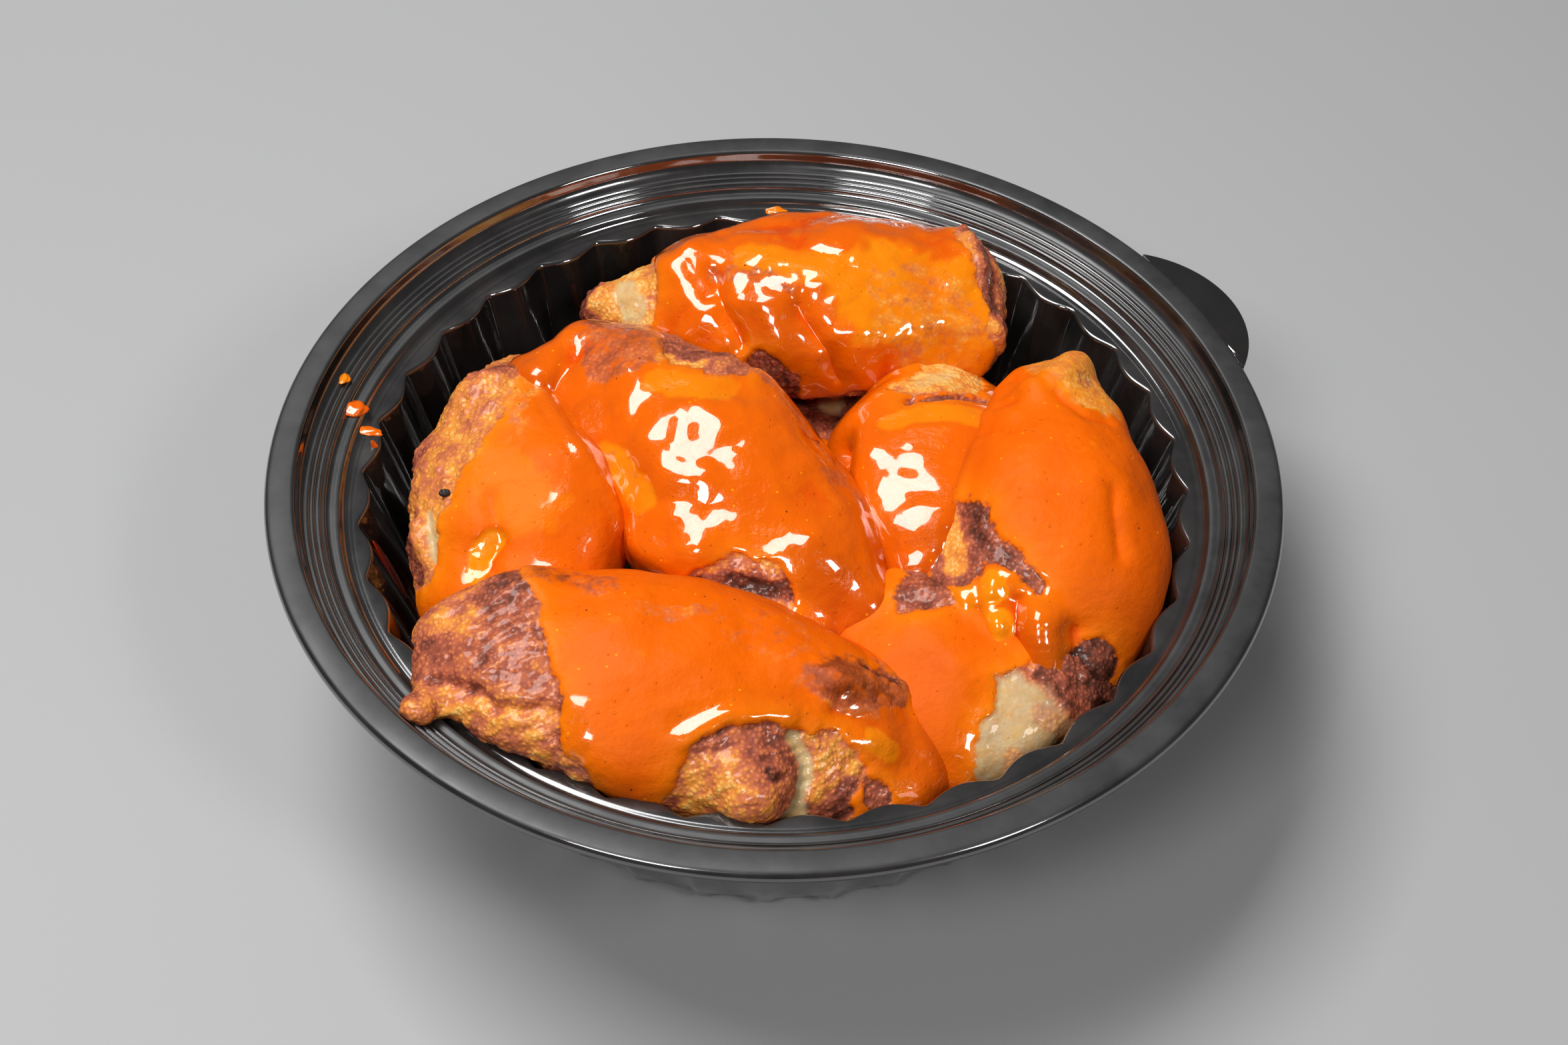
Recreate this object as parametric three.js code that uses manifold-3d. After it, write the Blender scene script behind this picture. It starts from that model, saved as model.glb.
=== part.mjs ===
// Sauced chicken wings in the round black takeaway bowl that they are served in.
// Millimetres, +Z up. The origin is the centre of the bowl's flat underside, and the
// front of the serving faces -Y. Every wing is one solid, and so is the bowl.
import * as THREE from 'three';
import { mergeVertices } from 'three/addons/utils/BufferGeometryUtils.js';
import Module from 'manifold-3d';

const wasm = await Module();
wasm.setup();

// ---- driving dimensions ----------------------------------------------------

const GAP = 0.35; // clearance kept between neighbouring pieces
const SHEET = 1; // thickness of the bowl's formed plastic
const MERGE = 1e-4; // corners closer than this are one corner

const BOWL = {
  height: 52, // rim above the table
  rimRadius: 95, // outside of the rolled edge
  flangeRadius: 90.3, // inner edge of the flat flange
  ledgeRadius: 79.8, // outer edge of the ledge that a lid seats on
  ledgeHeight: 43.2,
  wallTopRadius: 76.6, // crest of a flute at the ledge
  wallFootRadius: 66.4, // crest of a flute at the floor
  fluteCount: 36,
  fluteDepth: 2.2,
  fluteSteps: 3, // facets across one flute
  fluteMargin: 0.5, // the flutes begin this far inside the wall's foot
  corner: [2.2, 2.4], // rounding between floor and wall: how far in and how far up
  wallLip: 0.4, // the wall ends this far below the ledge
  shoulder: [
    [1.2, 1.2],
    [8.4, 4.4],
  ], // turns of the ridged slope, out and up from the ledge's outer edge
  flangeLip: 0.8, // rounding between the slope and the flange
  // Turns of the rolled edge: how far in from the rim and down from the flange's top.
  roll: [
    [1.3, 0],
    [0.2, 0.9],
    [0, 2.2],
    [0.9, 2.5],
    [1.6, 1.1],
  ],
  backOut: 0.55, // the sheet's outside lies this far out from its inside
  backDown: 1.05, // and this far down from it
  footHeight: 3, // outside, the wall turns under at this height
  footInset: 1.6, // and meets the table this far inside the foot
};

const TAB = {
  angle: 27.2, // degrees from +X towards +Y
  discRadius: 24.1, // the tab is the outer part of this disc
  discCentre: 77.9, // distance of the disc's centre from the bowl's axis
  root: 92.7, // distance from the bowl's axis to where it grows out of the flange
  facets: 14,
  thickness: 1.2,
  below: 0.5, // top of the tab below the top of the flange
};

const AROUND = 14; // facets round a wing
const ALONG = 12; // facets along a wing
const KNUCKLE_AROUND = 8;
const KNUCKLE_ALONG = 5;
const CAVITY_AROUND = 72;
const BLUNT = 0.35; // how much fuller a wing's ends are than an ellipsoid's
const NEAR_POLE = 1e-6; // rings smaller than this are an end's single point

// Each wing is a tapering body along a bent spine, from one end of the meat to the other.
// widths and depths are full sizes at even steps along it. bow bends the spine towards
// the body's left, arch bends it up, and roll turns the body about its spine, in degrees.
// A lump is a muscle or fold that swells (or sinks, below 0) from the skin: how far
// along, its direction round the spine in degrees (0 left, 90 up), its spread and height.
// A knuckle is a joint end that stands out: how far along, how far to the left and how
// far up (1 is the skin), and its radius.
const WINGS = [
  {
    name: 'wing_centre',
    from: [-40, 33, 45],
    to: [13, -35, 34],
    bow: 1,
    arch: 5,
    roll: 8,
    widths: [32, 37, 42, 43, 40],
    depths: [22, 27, 30, 28, 24],
    lumps: [
      [0.92, 60, 11, 3],
      [0.76, 20, 7, -2],
      [0.6, 170, 12, 2],
      [0.2, 110, 12, 1.5],
    ],
    knuckles: [[0.07, -0.75, 0.1, 8]],
  },
  {
    name: 'wing_front',
    from: [-63, -46, 44],
    to: [30, -61, 29],
    bow: 2,
    arch: 5,
    roll: 6,
    widths: [42, 44, 45, 43, 36],
    depths: [22, 25, 27, 27, 26],
    lumps: [
      [0.78, 70, 9, 3],
      [0.93, 80, 10, -3],
      [0.45, 150, 14, 2],
      [0.12, 230, 10, 2],
    ],
    knuckles: [
      [0.03, -0.72, 0.2, 5],
      [0.66, -0.75, 0.2, 9],
    ],
  },
  {
    name: 'wing_right',
    from: [53, 32, 42],
    to: [45, -43.5, 31],
    bow: 3.5,
    arch: 5,
    roll: 0,
    widths: [24, 30, 40, 44, 42],
    depths: [22, 28, 32, 32, 26],
    lumps: [
      [0.68, 20, 16, 2.5],
      [0.5, 160, 9, -2],
      [0.14, 60, 8, 1.5],
      [0.85, 250, 12, -3],
    ],
    knuckles: [
      [0.82, -0.7, 0.1, 6],
      [0.97, -0.45, 0.1, 7],
    ],
  },
  {
    name: 'wing_back',
    from: [-38, 48, 38],
    to: [46, 47, 44],
    bow: 2,
    arch: 4,
    roll: 6,
    widths: [22, 34, 40, 41, 38],
    depths: [18, 24, 26, 26, 24],
    lumps: [
      [0.3, 205, 9, 3],
      [0.56, 210, 10, 3.5],
      [0.43, 200, 5, -2],
      [0.28, 100, 8, -1.5],
    ],
    knuckles: [[0.04, 0.1, 0.2, 6]],
  },
  {
    name: 'wing_inner_right',
    from: [35, 38, 36],
    to: [27, -29, 26],
    bow: -1,
    arch: 5,
    roll: 0,
    widths: [26, 36, 38, 34, 26],
    depths: [20, 26, 28, 28, 22],
    lumps: [
      [0.4, 165, 12, 2],
      [0.12, 80, 8, -2],
      [0.75, 60, 10, 1.5],
    ],
    knuckles: [],
  },
  {
    name: 'wing_front_right',
    from: [4, -25, 24],
    to: [66, -48, 26],
    bow: -2,
    arch: 6,
    roll: 0,
    widths: [34, 46, 50, 46, 34],
    depths: [20, 27, 30, 28, 22],
    lumps: [
      [0.25, 60, 10, 2],
      [0.55, 120, 9, -1.5],
      [0.8, 60, 10, 2],
    ],
    knuckles: [],
  },
  {
    name: 'wing_left',
    from: [-49, 33, 38],
    to: [-44, -42, 28],
    bow: -3,
    arch: 6,
    roll: 0,
    widths: [28, 36, 40, 40, 32],
    depths: [20, 26, 28, 26, 20],
    lumps: [
      [0.12, 120, 10, 2],
      [0.75, 110, 7, -2],
      [0.45, 70, 14, 2],
    ],
    knuckles: [
      [0.35, -0.82, 0.2, 4],
      [0.6, -0.76, 0, 4],
    ],
  },
  {
    name: 'wing_under',
    from: [4, 39, 22],
    to: [20, -24, 16],
    bow: 0,
    arch: 2,
    roll: 0,
    widths: [26, 32, 34, 34, 28],
    depths: [18, 22, 24, 24, 20],
    lumps: [
      [0.3, 40, 9, 2],
      [0.3, 140, 9, 2],
      [0.3, 90, 6, -2],
    ],
    knuckles: [
      [0.06, 0.5, 0.5, 6],
      [0.03, -0.5, 0.4, 6],
    ],
  },
];

// ---- solids ----------------------------------------------------------------

/** A manifold solid from a three.js geometry. */
function solidOf(geometry) {
  const bare = geometry.clone();
  bare.deleteAttribute('normal');
  bare.deleteAttribute('uv');
  const merged = mergeVertices(bare, MERGE);
  const corners = merged.index.array;
  const kept = [];
  for (let i = 0; i < corners.length; i += 3) {
    const [a, b, c] = corners.slice(i, i + 3);
    if (a !== b && b !== c && c !== a) kept.push(a, b, c);
  }
  const mesh = new wasm.Mesh({
    numProp: 3,
    vertProperties: Float32Array.from(merged.attributes.position.array),
    triVerts: Uint32Array.from(kept),
  });
  return new wasm.Manifold(mesh);
}

/** The three.js geometry of a manifold solid. */
function geometryOf(solid) {
  const mesh = solid.getMesh();
  const geometry = new THREE.BufferGeometry();
  geometry.setAttribute('position', new THREE.BufferAttribute(mesh.vertProperties, 3));
  geometry.setIndex(new THREE.BufferAttribute(mesh.triVerts, 1));
  return geometry;
}

/** A closed body of revolution about Z from a profile of [radius, height] points. */
function turned(profile, segments) {
  const points = profile.map(([radius, height]) => new THREE.Vector2(radius, height));
  const geometry = new THREE.LatheGeometry(points, segments);
  geometry.rotateX(Math.PI / 2);
  return geometry;
}

// ---- bowl ------------------------------------------------------------------

/** Inside of the bowl from the axis to the top of the flange, at the flutes' crests. */
function innerProfile() {
  const { height, flangeRadius, flangeLip, ledgeRadius, ledgeHeight, wallFootRadius, corner } = BOWL;
  return [
    [0, SHEET],
    [wallFootRadius - corner[0], SHEET],
    [wallFootRadius, SHEET + corner[1]],
    [BOWL.wallTopRadius, ledgeHeight - BOWL.wallLip],
    [ledgeRadius, ledgeHeight],
    ...BOWL.shoulder.map(([out, up]) => [ledgeRadius + out, ledgeHeight + up]),
    [flangeRadius - flangeLip, height - flangeLip],
    [flangeRadius, height],
  ];
}

/** How far a flute's groove lies outside its crest, at an angle in radians. */
function fluteGroove(angle) {
  const { fluteCount, fluteDepth } = BOWL;
  return fluteDepth * (1 - Math.abs(Math.sin((fluteCount * angle) / 2)));
}

/** The whole bowl, with its lift tab. */
function bowlSolid() {
  const { height, rimRadius, ledgeHeight, wallTopRadius, wallFootRadius } = BOWL;
  const inside = innerProfile();
  const edge = BOWL.roll.map(([inward, down]) => [rimRadius - inward, height - down]);
  const underside = [inside.at(-1), inside.at(-3), inside.at(-4), inside.at(-5), inside.at(-6)];
  const outside = underside.map(([radius, z]) => [radius + BOWL.backOut, z - BOWL.backDown]);
  outside.push([wallFootRadius + SHEET, BOWL.footHeight]);
  outside.push([wallFootRadius - BOWL.footInset, 0], [0, 0]);
  const profile = [...inside, ...edge, ...outside].reverse();
  const geometry = turned(profile, BOWL.fluteCount * BOWL.fluteSteps);

  const position = geometry.attributes.position;
  for (let i = 0; i < position.count; i += 1) {
    const x = position.getX(i);
    const y = position.getY(i);
    const radius = Math.hypot(x, y);
    const onWall = radius > wallFootRadius - BOWL.fluteMargin && radius < wallTopRadius + 2 * SHEET;
    if (onWall && position.getZ(i) < ledgeHeight) {
      const scale = 1 + fluteGroove(Math.atan2(y, x)) / radius;
      position.setXY(i, x * scale, y * scale);
    }
  }
  return solidOf(geometry).add(tabSolid());
}

/** The lift tab: the part of a disc that stands out past the flange. */
function tabSolid() {
  const { angle, discRadius, discCentre, root, thickness, below } = TAB;
  const reach = Math.acos((root - discCentre) / discRadius);
  const shape = new THREE.Shape();
  shape.absarc(discCentre, 0, discRadius, -reach, reach, false);
  shape.closePath();
  const geometry = new THREE.ExtrudeGeometry(shape, {
    depth: thickness,
    bevelEnabled: false,
    curveSegments: TAB.facets,
  });
  geometry.translate(0, 0, BOWL.height - below - thickness);
  geometry.rotateZ(THREE.MathUtils.degToRad(angle));
  return solidOf(geometry);
}

/** The room that the bowl leaves for food, open at the top. */
function cavitySolid() {
  const roof = 120;
  const profile = innerProfile().map(([radius, z]) => [Math.max(radius - GAP, 0), z + GAP]);
  profile.push([BOWL.rimRadius, BOWL.height + GAP], [BOWL.rimRadius, roof], [0, roof]);
  return solidOf(turned(profile, CAVITY_AROUND));
}

// ---- wings -----------------------------------------------------------------

/** The value at t (0 to 1) of a smooth curve through evenly spaced stations. */
function along(stations, t) {
  const last = stations.length - 1;
  const curve = new THREE.SplineCurve(stations.map((value, i) => new THREE.Vector2(i / last, value)));
  return curve.getPoint(t).y;
}

/** The spine's point and the body's left and up directions at t (0 to 1). */
function spineFrame(spec, t) {
  const from = new THREE.Vector3(...spec.from);
  const to = new THREE.Vector3(...spec.to);
  const chord = to.clone().sub(from).normalize();
  const left = new THREE.Vector3(0, 0, 1).cross(chord).normalize();
  const up = chord.clone().cross(left);
  // The control point lies twice as far off the chord as the curve's middle does.
  const middle = from.clone().lerp(to, 0.5);
  middle.addScaledVector(left, 2 * spec.bow);
  middle.addScaledVector(up, 2 * spec.arch);
  const spine = new THREE.QuadraticBezierCurve3(from, middle, to);
  const tangent = spine.getTangent(t);
  const turn = THREE.MathUtils.degToRad(spec.roll);
  left.applyAxisAngle(tangent, turn);
  up.copy(tangent).cross(left).normalize();
  left.copy(up).cross(tangent);
  return { point: spine.getPoint(t), tangent, left, up };
}

/** How far the lumps move the skin out at t along the spine and angle round it. */
function swell(spec, t, angle) {
  const length = new THREE.Vector3(...spec.from).distanceTo(new THREE.Vector3(...spec.to));
  const radius = (along(spec.widths, t) + along(spec.depths, t)) / 4; // mean of the half sizes
  let height = 0;
  for (const [at, direction, spread, rise] of spec.lumps) {
    const turn = angle - THREE.MathUtils.degToRad(direction);
    const aside = 2 * Math.sin(turn / 2) * radius;
    const ahead = (t - at) * length;
    height += rise * Math.exp(-(aside ** 2 + ahead ** 2) / spread ** 2);
  }
  return height;
}

/** One wing, with its skin moved out by grow. */
function wingSolid(spec, grow = 0) {
  const body = new THREE.SphereGeometry(1, AROUND, ALONG);
  const position = body.attributes.position;
  const v = new THREE.Vector3();
  for (let i = 0; i < position.count; i += 1) {
    v.fromBufferAttribute(position, i);
    const t = (1 - v.y) / 2;
    const { point, tangent, left, up } = spineFrame(spec, t);
    const ring = Math.hypot(v.x, v.z);
    const blunt = ring > NEAR_POLE ? ring ** -BLUNT : 0;
    const out = grow + swell(spec, t, Math.atan2(v.z, v.x));
    point.addScaledVector(left, v.x * blunt * (along(spec.widths, t) / 2 + out));
    point.addScaledVector(up, v.z * blunt * (along(spec.depths, t) / 2 + out));
    point.addScaledVector(tangent, -v.y * grow);
    position.setXYZ(i, point.x, point.y, point.z);
  }
  let solid = solidOf(body);
  for (const [t, aside, lift, radius] of spec.knuckles) {
    const { point, left, up } = spineFrame(spec, t);
    point.addScaledVector(left, (aside * along(spec.widths, t)) / 2);
    point.addScaledVector(up, (lift * along(spec.depths, t)) / 2);
    const ball = new THREE.SphereGeometry(radius + grow, KNUCKLE_AROUND, KNUCKLE_ALONG);
    ball.translate(point.x, point.y, point.z);
    solid = solid.add(solidOf(ball));
  }
  return solid;
}

// ---- the serving -----------------------------------------------------------

function material(color, roughness) {
  return new THREE.MeshStandardMaterial({ color, roughness, metalness: 0 });
}

function part(name, solid, finish) {
  const mesh = new THREE.Mesh(geometryOf(solid), finish);
  mesh.name = name;
  return mesh;
}

const blackPlastic = material('#141414', 0.3);
const saucedSkin = material('#ee6804', 0.25);

const group = new THREE.Group();
group.add(part('bowl', bowlSolid(), blackPlastic));

// The wings lie on one another in the order of the list, the top one first.
const cavity = cavitySolid();
const above = [];
for (const spec of WINGS) {
  let solid = wingSolid(spec).intersect(cavity);
  for (const neighbour of above) solid = solid.subtract(neighbour);
  above.push(wingSolid(spec, GAP));
  group.add(part(spec.name, solid, saucedSkin));
}

export default group;
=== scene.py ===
"""Sauced chicken wings in their fluted black takeaway bowl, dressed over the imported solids.

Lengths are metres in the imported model's frame: +Z is up, the origin is under the bowl's
centre and the front of the serving faces -Y. Sizes given in millimetres are times MM.
"""

import logging
import math
from collections.abc import Callable, Sequence
from dataclasses import dataclass, field
from enum import Enum

import bmesh
import bpy
import numpy as np
from bmesh.types import BMEdge, BMesh, BMFace, BMVert
from bpy.types import Material, Mesh, Node, NodeSocket, NodeTree, Object
from mathutils import Matrix, Vector, noise
from mathutils.bvhtree import BVHTree


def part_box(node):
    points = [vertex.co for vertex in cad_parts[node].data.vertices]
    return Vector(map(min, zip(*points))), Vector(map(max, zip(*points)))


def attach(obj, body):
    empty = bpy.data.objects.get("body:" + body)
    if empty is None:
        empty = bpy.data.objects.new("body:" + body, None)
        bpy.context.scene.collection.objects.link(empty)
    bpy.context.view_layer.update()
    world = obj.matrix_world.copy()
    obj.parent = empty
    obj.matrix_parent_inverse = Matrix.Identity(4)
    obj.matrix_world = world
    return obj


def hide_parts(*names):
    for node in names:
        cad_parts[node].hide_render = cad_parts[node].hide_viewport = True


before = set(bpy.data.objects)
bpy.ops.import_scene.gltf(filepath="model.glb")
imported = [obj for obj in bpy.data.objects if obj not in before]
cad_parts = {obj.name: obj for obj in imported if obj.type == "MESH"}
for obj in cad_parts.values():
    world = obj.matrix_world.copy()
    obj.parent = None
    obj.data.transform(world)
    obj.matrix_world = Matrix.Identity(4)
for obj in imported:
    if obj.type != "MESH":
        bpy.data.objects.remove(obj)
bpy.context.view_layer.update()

log = logging.getLogger("wings")

MM = 0.001
BODY = "root"  # nothing on the serving moves, so every piece rides on the one body
MERGE = 0.01 * MM  # corners closer than this are one corner

Colour = tuple[float, float, float]
Place = tuple[float, float]  # across and up a wing's face, or out from the axis and up

# Guests see the serving from the front and above, so a wing's face is its box seen this way.
FACE_TILT = math.radians(48)
LOOK = Vector((0, math.cos(FACE_TILT), -math.sin(FACE_TILT)))
RISE = Vector((0, math.sin(FACE_TILT), math.cos(FACE_TILT)))


# ---- mesh helpers ------------------------------------------------------------------------


def placed(mesh: Mesh, name: str) -> Object:
    """Puts a mesh in the scene as an object at the origin.

    Args:
        mesh: The mesh, with its place in its vertices.
        name: The object's name.

    Returns:
        The new object.
    """
    thing = bpy.data.objects.new(name, mesh)
    bpy.context.scene.collection.objects.link(thing)
    return thing


def finished(shape: BMesh, name: str, smooth: bool = True) -> Object:
    """Turns a bmesh into an object with its faces pointing out.

    Args:
        shape: The shape, which is freed.
        name: The object's name.
        smooth: Whether its faces are shaded smooth.

    Returns:
        The new object.
    """
    bmesh.ops.remove_doubles(shape, verts=shape.verts, dist=MERGE)
    bmesh.ops.recalc_face_normals(shape, faces=shape.faces)
    for face in shape.faces:
        face.smooth = smooth
    mesh = bpy.data.meshes.new(name)
    shape.to_mesh(mesh)
    shape.free()
    return placed(mesh, name)


def open_edges(shape: BMesh) -> list[BMEdge]:
    """The edges of a shape that close no face on one side."""
    return [edge for edge in shape.edges if edge.is_boundary]


def turned(shape: BMesh, angle: float, axis: str) -> None:
    """Turns a shape about one of the frame's axes."""
    turn = Matrix.Rotation(angle, 3, axis)
    bmesh.ops.rotate(shape, verts=shape.verts, cent=(0, 0, 0), matrix=turn)


def uneven_ball(size: Sequence[float], depth: float, pitch: float, seed: float) -> BMesh:
    """A ball with soft bumps on it.

    Args:
        size: Its full sizes along X, Y and Z.
        depth: How far the bumps stand out, as a share of its radius.
        pitch: How many bumps lie across it.
        seed: Where in the noise to read.

    Returns:
        The shape.
    """
    shape = bmesh.new()
    bmesh.ops.create_icosphere(shape, subdivisions=4, radius=0.5)
    for vertex in shape.verts:
        vertex.co *= 1 + depth * noise.noise(vertex.co * pitch + Vector((seed, 0, 0)))
    bmesh.ops.scale(shape, verts=shape.verts, vec=size)
    return shape


def applied(thing: Object) -> Mesh:
    """A mesh of an object with its modifiers applied; the object itself is removed.

    Args:
        thing: The object, which is removed.

    Returns:
        The new mesh.
    """
    evaluated = thing.evaluated_get(bpy.context.evaluated_depsgraph_get())
    mesh = bpy.data.meshes.new_from_object(evaluated)
    bpy.data.objects.remove(thing, do_unlink=True)
    return mesh


def handed_over(piece: Object, slot: str, material: Material, *nodes: str) -> None:
    """Gives a piece its finish, its body and the CAD nodes that it stands for.

    Args:
        piece: The finished piece.
        slot: The record's material slot; not used.
        material: The piece's material.
        *nodes: The CAD nodes that it replaces, if any.
    """
    piece.data.materials.clear()
    piece.data.materials.append(material)
    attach(piece, BODY)
    if nodes:
        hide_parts(*nodes)
    log.info("%s: %d faces", piece.name, len(piece.data.polygons))


# ---- fields over a surface ---------------------------------------------------------------


def ripple(points: np.ndarray, size: float, shift: float, octaves: int = 1) -> np.ndarray:
    """Smooth noise at each point.

    Args:
        points: Points, one a row.
        size: Rough width of one bump.
        shift: Where in the noise to read, so that two fields differ.
        octaves: Layers of ever finer noise.

    Returns:
        Values between about -1 and 1.
    """
    rows = (points / size + shift).tolist()
    if octaves == 1:
        return np.array([noise.noise(row) for row in rows])
    return np.array([noise.fractal(row, 1.0, 2.0, octaves) for row in rows])


def pebbles(points: np.ndarray, size: float, shift: float) -> np.ndarray:
    """Rounded bumps with creases between them, as on crisp skin.

    Args:
        points: Points, one a row.
        size: Rough width of one pebble.
        shift: Where in the noise to read.

    Returns:
        Values from 0 in a crease to about 1 on a crown.
    """
    rows = (points / size + shift).tolist()
    near = np.array([noise.voronoi(row)[0][:2] for row in rows])
    return np.clip(1.6 * (near[:, 1] - near[:, 0]), 0, 1) ** 0.6


def ramp(values: np.ndarray, low: float, high: float) -> np.ndarray:
    """A smooth step of values, from 0 at low to 1 at high."""
    t = np.clip((values - low) / (high - low), 0, 1)
    return t * t * (3 - 2 * t)


def path_distance(points: np.ndarray, path: Sequence[Vector]) -> np.ndarray:
    """How far each point lies from a path of straight steps.

    Args:
        points: Points, one a row.
        path: The path's corners; one corner is a dot.

    Returns:
        The distances.
    """
    corners = np.array([tuple(corner) for corner in path])
    if len(corners) == 1:
        return np.linalg.norm(points - corners[0], axis=1)
    nearest = np.full(len(points), np.inf)
    for start, end in zip(corners[:-1], corners[1:]):
        step = end - start
        t = np.clip((points - start) @ step / max(step @ step, 1e-12), 0, 1)
        nearest = np.minimum(nearest, np.linalg.norm(points - start - t[:, None] * step, axis=1))
    return nearest


def outline_distance(places: np.ndarray, outline: np.ndarray) -> np.ndarray:
    """How far each place on a plane lies outside a closed outline, below 0 inside it.

    Args:
        places: Places, one a row.
        outline: The outline's corners in order, one a row.

    Returns:
        The distances.
    """
    nearest = np.full(len(places), np.inf)
    inside = np.zeros(len(places), dtype=bool)
    for start, end in zip(outline, np.roll(outline, -1, axis=0)):
        step = end - start
        t = np.clip((places - start) @ step / (step @ step), 0, 1)
        nearest = np.minimum(nearest, np.linalg.norm(places - start - t[:, None] * step, axis=1))
        if step[1] != 0:
            spans = (start[1] > places[:, 1]) != (end[1] > places[:, 1])
            crossing = start[0] + (places[:, 1] - start[1]) * step[0] / step[1]
            inside ^= spans & (places[:, 0] < crossing)
    return np.where(inside, -nearest, nearest)


@dataclass
class Skin:
    """A mesh's points as an array, for sculpting it in place."""

    mesh: Mesh
    points: np.ndarray = field(init=False)
    edges: np.ndarray = field(init=False)

    def __post_init__(self) -> None:
        """Reads the mesh's points and edges."""
        flat = np.empty(3 * len(self.mesh.vertices))
        self.mesh.vertices.foreach_get("co", flat)
        self.points = flat.reshape(-1, 3)
        pairs = np.empty(2 * len(self.mesh.edges), dtype=np.int32)
        self.mesh.edges.foreach_get("vertices", pairs)
        self.edges = pairs.reshape(-1, 2)

    def write(self) -> None:
        """Puts the points back in the mesh."""
        self.mesh.vertices.foreach_set("co", self.points.ravel())
        self.mesh.update()

    def normals(self) -> np.ndarray:
        """The direction that each point of the surface faces, one a row."""
        self.write()
        flat = np.empty(3 * len(self.points))
        self.mesh.vertex_normals.foreach_get("vector", flat)
        return flat.reshape(-1, 3)

    def push(self, height: np.ndarray | float) -> None:
        """Moves the surface out along its normals by height."""
        self.points = self.points + self.normals() * np.reshape(height, (-1, 1))

    def relax(self, rounds: int, weight: np.ndarray | float = 1.0) -> None:
        """Draws each point towards the middle of its neighbours.

        Args:
            rounds: How many times.
            weight: How much each point follows, from 0 to 1.
        """
        first, second = self.edges.T
        count = len(self.points)
        ends = np.concatenate([first, second])
        others = np.concatenate([second, first])
        share = np.bincount(ends, minlength=count)[:, None]
        pull = 0.5 * np.reshape(weight, (-1, 1))
        for _ in range(rounds):
            sums = [np.bincount(ends, self.points[others, axis], count) for axis in range(3)]
            middle = np.stack(sums, axis=1) / share
            self.points = self.points + pull * (middle - self.points)

    def store(self, name: str, values: np.ndarray | float) -> None:
        """Keeps a value for each point as a mesh attribute that materials can read."""
        attribute = self.mesh.attributes.new(name, "FLOAT", "POINT")
        spread = np.broadcast_to(values, len(self.points)).astype(np.float32)
        attribute.data.foreach_set("value", spread)


# ---- node trees --------------------------------------------------------------------------


@dataclass
class Graph:
    """A short way to add nodes to a tree and join them."""

    tree: NodeTree

    def feed(self, socket: NodeSocket, value: object) -> None:
        """Links a socket into another one, or sets it to a number or colour.

        Args:
            socket: The socket to feed.
            value: A socket, a number or a colour.
        """
        if isinstance(value, NodeSocket):
            self.tree.links.new(value, socket)
        elif isinstance(value, tuple) and len(value) == 3 and socket.type == "RGBA":
            socket.default_value = (*value, 1)
        else:
            socket.default_value = value

    def add(self, kind: str, inputs: dict | None = None, **settings: object) -> Node:
        """Adds a node.

        Args:
            kind: The node's type.
            inputs: Values or sockets by the input's name or number.
            **settings: The node's own properties.

        Returns:
            The node.
        """
        node = self.tree.nodes.new(kind)
        for name, value in settings.items():
            setattr(node, name, value)
        for key, value in (inputs or {}).items():
            self.feed(node.inputs[key], value)
        return node

    def math(self, operation: str, first: object, second: object = 0.0) -> NodeSocket:
        """The result of a sum on two values."""
        return self.add("ShaderNodeMath", {0: first, 1: second}, operation=operation).outputs[0]

    def step(
        self, value: object, low: float, high: float, to: tuple[float, float] = (0.0, 1.0)
    ) -> NodeSocket:
        """A smooth step of a value from low to high, onto the two numbers of to.

        Args:
            value: The value.
            low: Where the step starts.
            high: Where it ends.
            to: What comes out at low and at high.

        Returns:
            The stepped value.
        """
        inputs = {"Value": value, "From Min": low, "From Max": high}
        inputs |= {"To Min": to[0], "To Max": to[1]}
        node = self.add("ShaderNodeMapRange", inputs, interpolation_type="SMOOTHSTEP")
        return node.outputs["Result"]

    def mix(self, share: object, first: object, second: object) -> NodeSocket:
        """A blend of two colours."""
        node = self.add("ShaderNodeMix", {0: share, 6: first, 7: second}, data_type="RGBA")
        return node.outputs[2]

    def blend(self, share: object, first: object, second: object) -> NodeSocket:
        """A blend of two values."""
        node = self.add("ShaderNodeMix", {0: share, 2: first, 3: second}, data_type="FLOAT")
        return node.outputs[0]

    def attribute(self, name: str) -> NodeSocket:
        """The piece's own attribute as a value."""
        return self.add("ShaderNodeAttribute", attribute_name=name).outputs["Fac"]

    def here(self) -> NodeSocket:
        """The place on the object."""
        return self.add("ShaderNodeTexCoord").outputs["Object"]

    def cloud(self, size: float, detail: float = 3.0, rough: float = 0.55) -> NodeSocket:
        """Cloudy noise between 0 and 1 with blotches about size across."""
        inputs = {"Vector": self.here(), "Scale": 1 / size, "Detail": detail, "Roughness": rough}
        return self.add("ShaderNodeTexNoise", inputs).outputs["Fac"]

    def group(self, tree: NodeTree, inputs: dict[str, object]) -> NodeSocket:
        """What a placed node group puts out."""
        return self.add("ShaderNodeGroup", inputs, node_tree=tree).outputs[0]

    def bump(self, height: NodeSocket, strength: float, distance: float) -> NodeSocket:
        """The normal of a surface with relief on it."""
        inputs = {"Strength": strength, "Distance": distance, "Height": height}
        return self.add("ShaderNodeBump", inputs).outputs[0]

    def dress(self, shader: Node, inputs: dict[str, object]) -> None:
        """Feeds a shader's inputs, by name."""
        for name, value in inputs.items():
            self.feed(shader.inputs[name], value)


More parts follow.
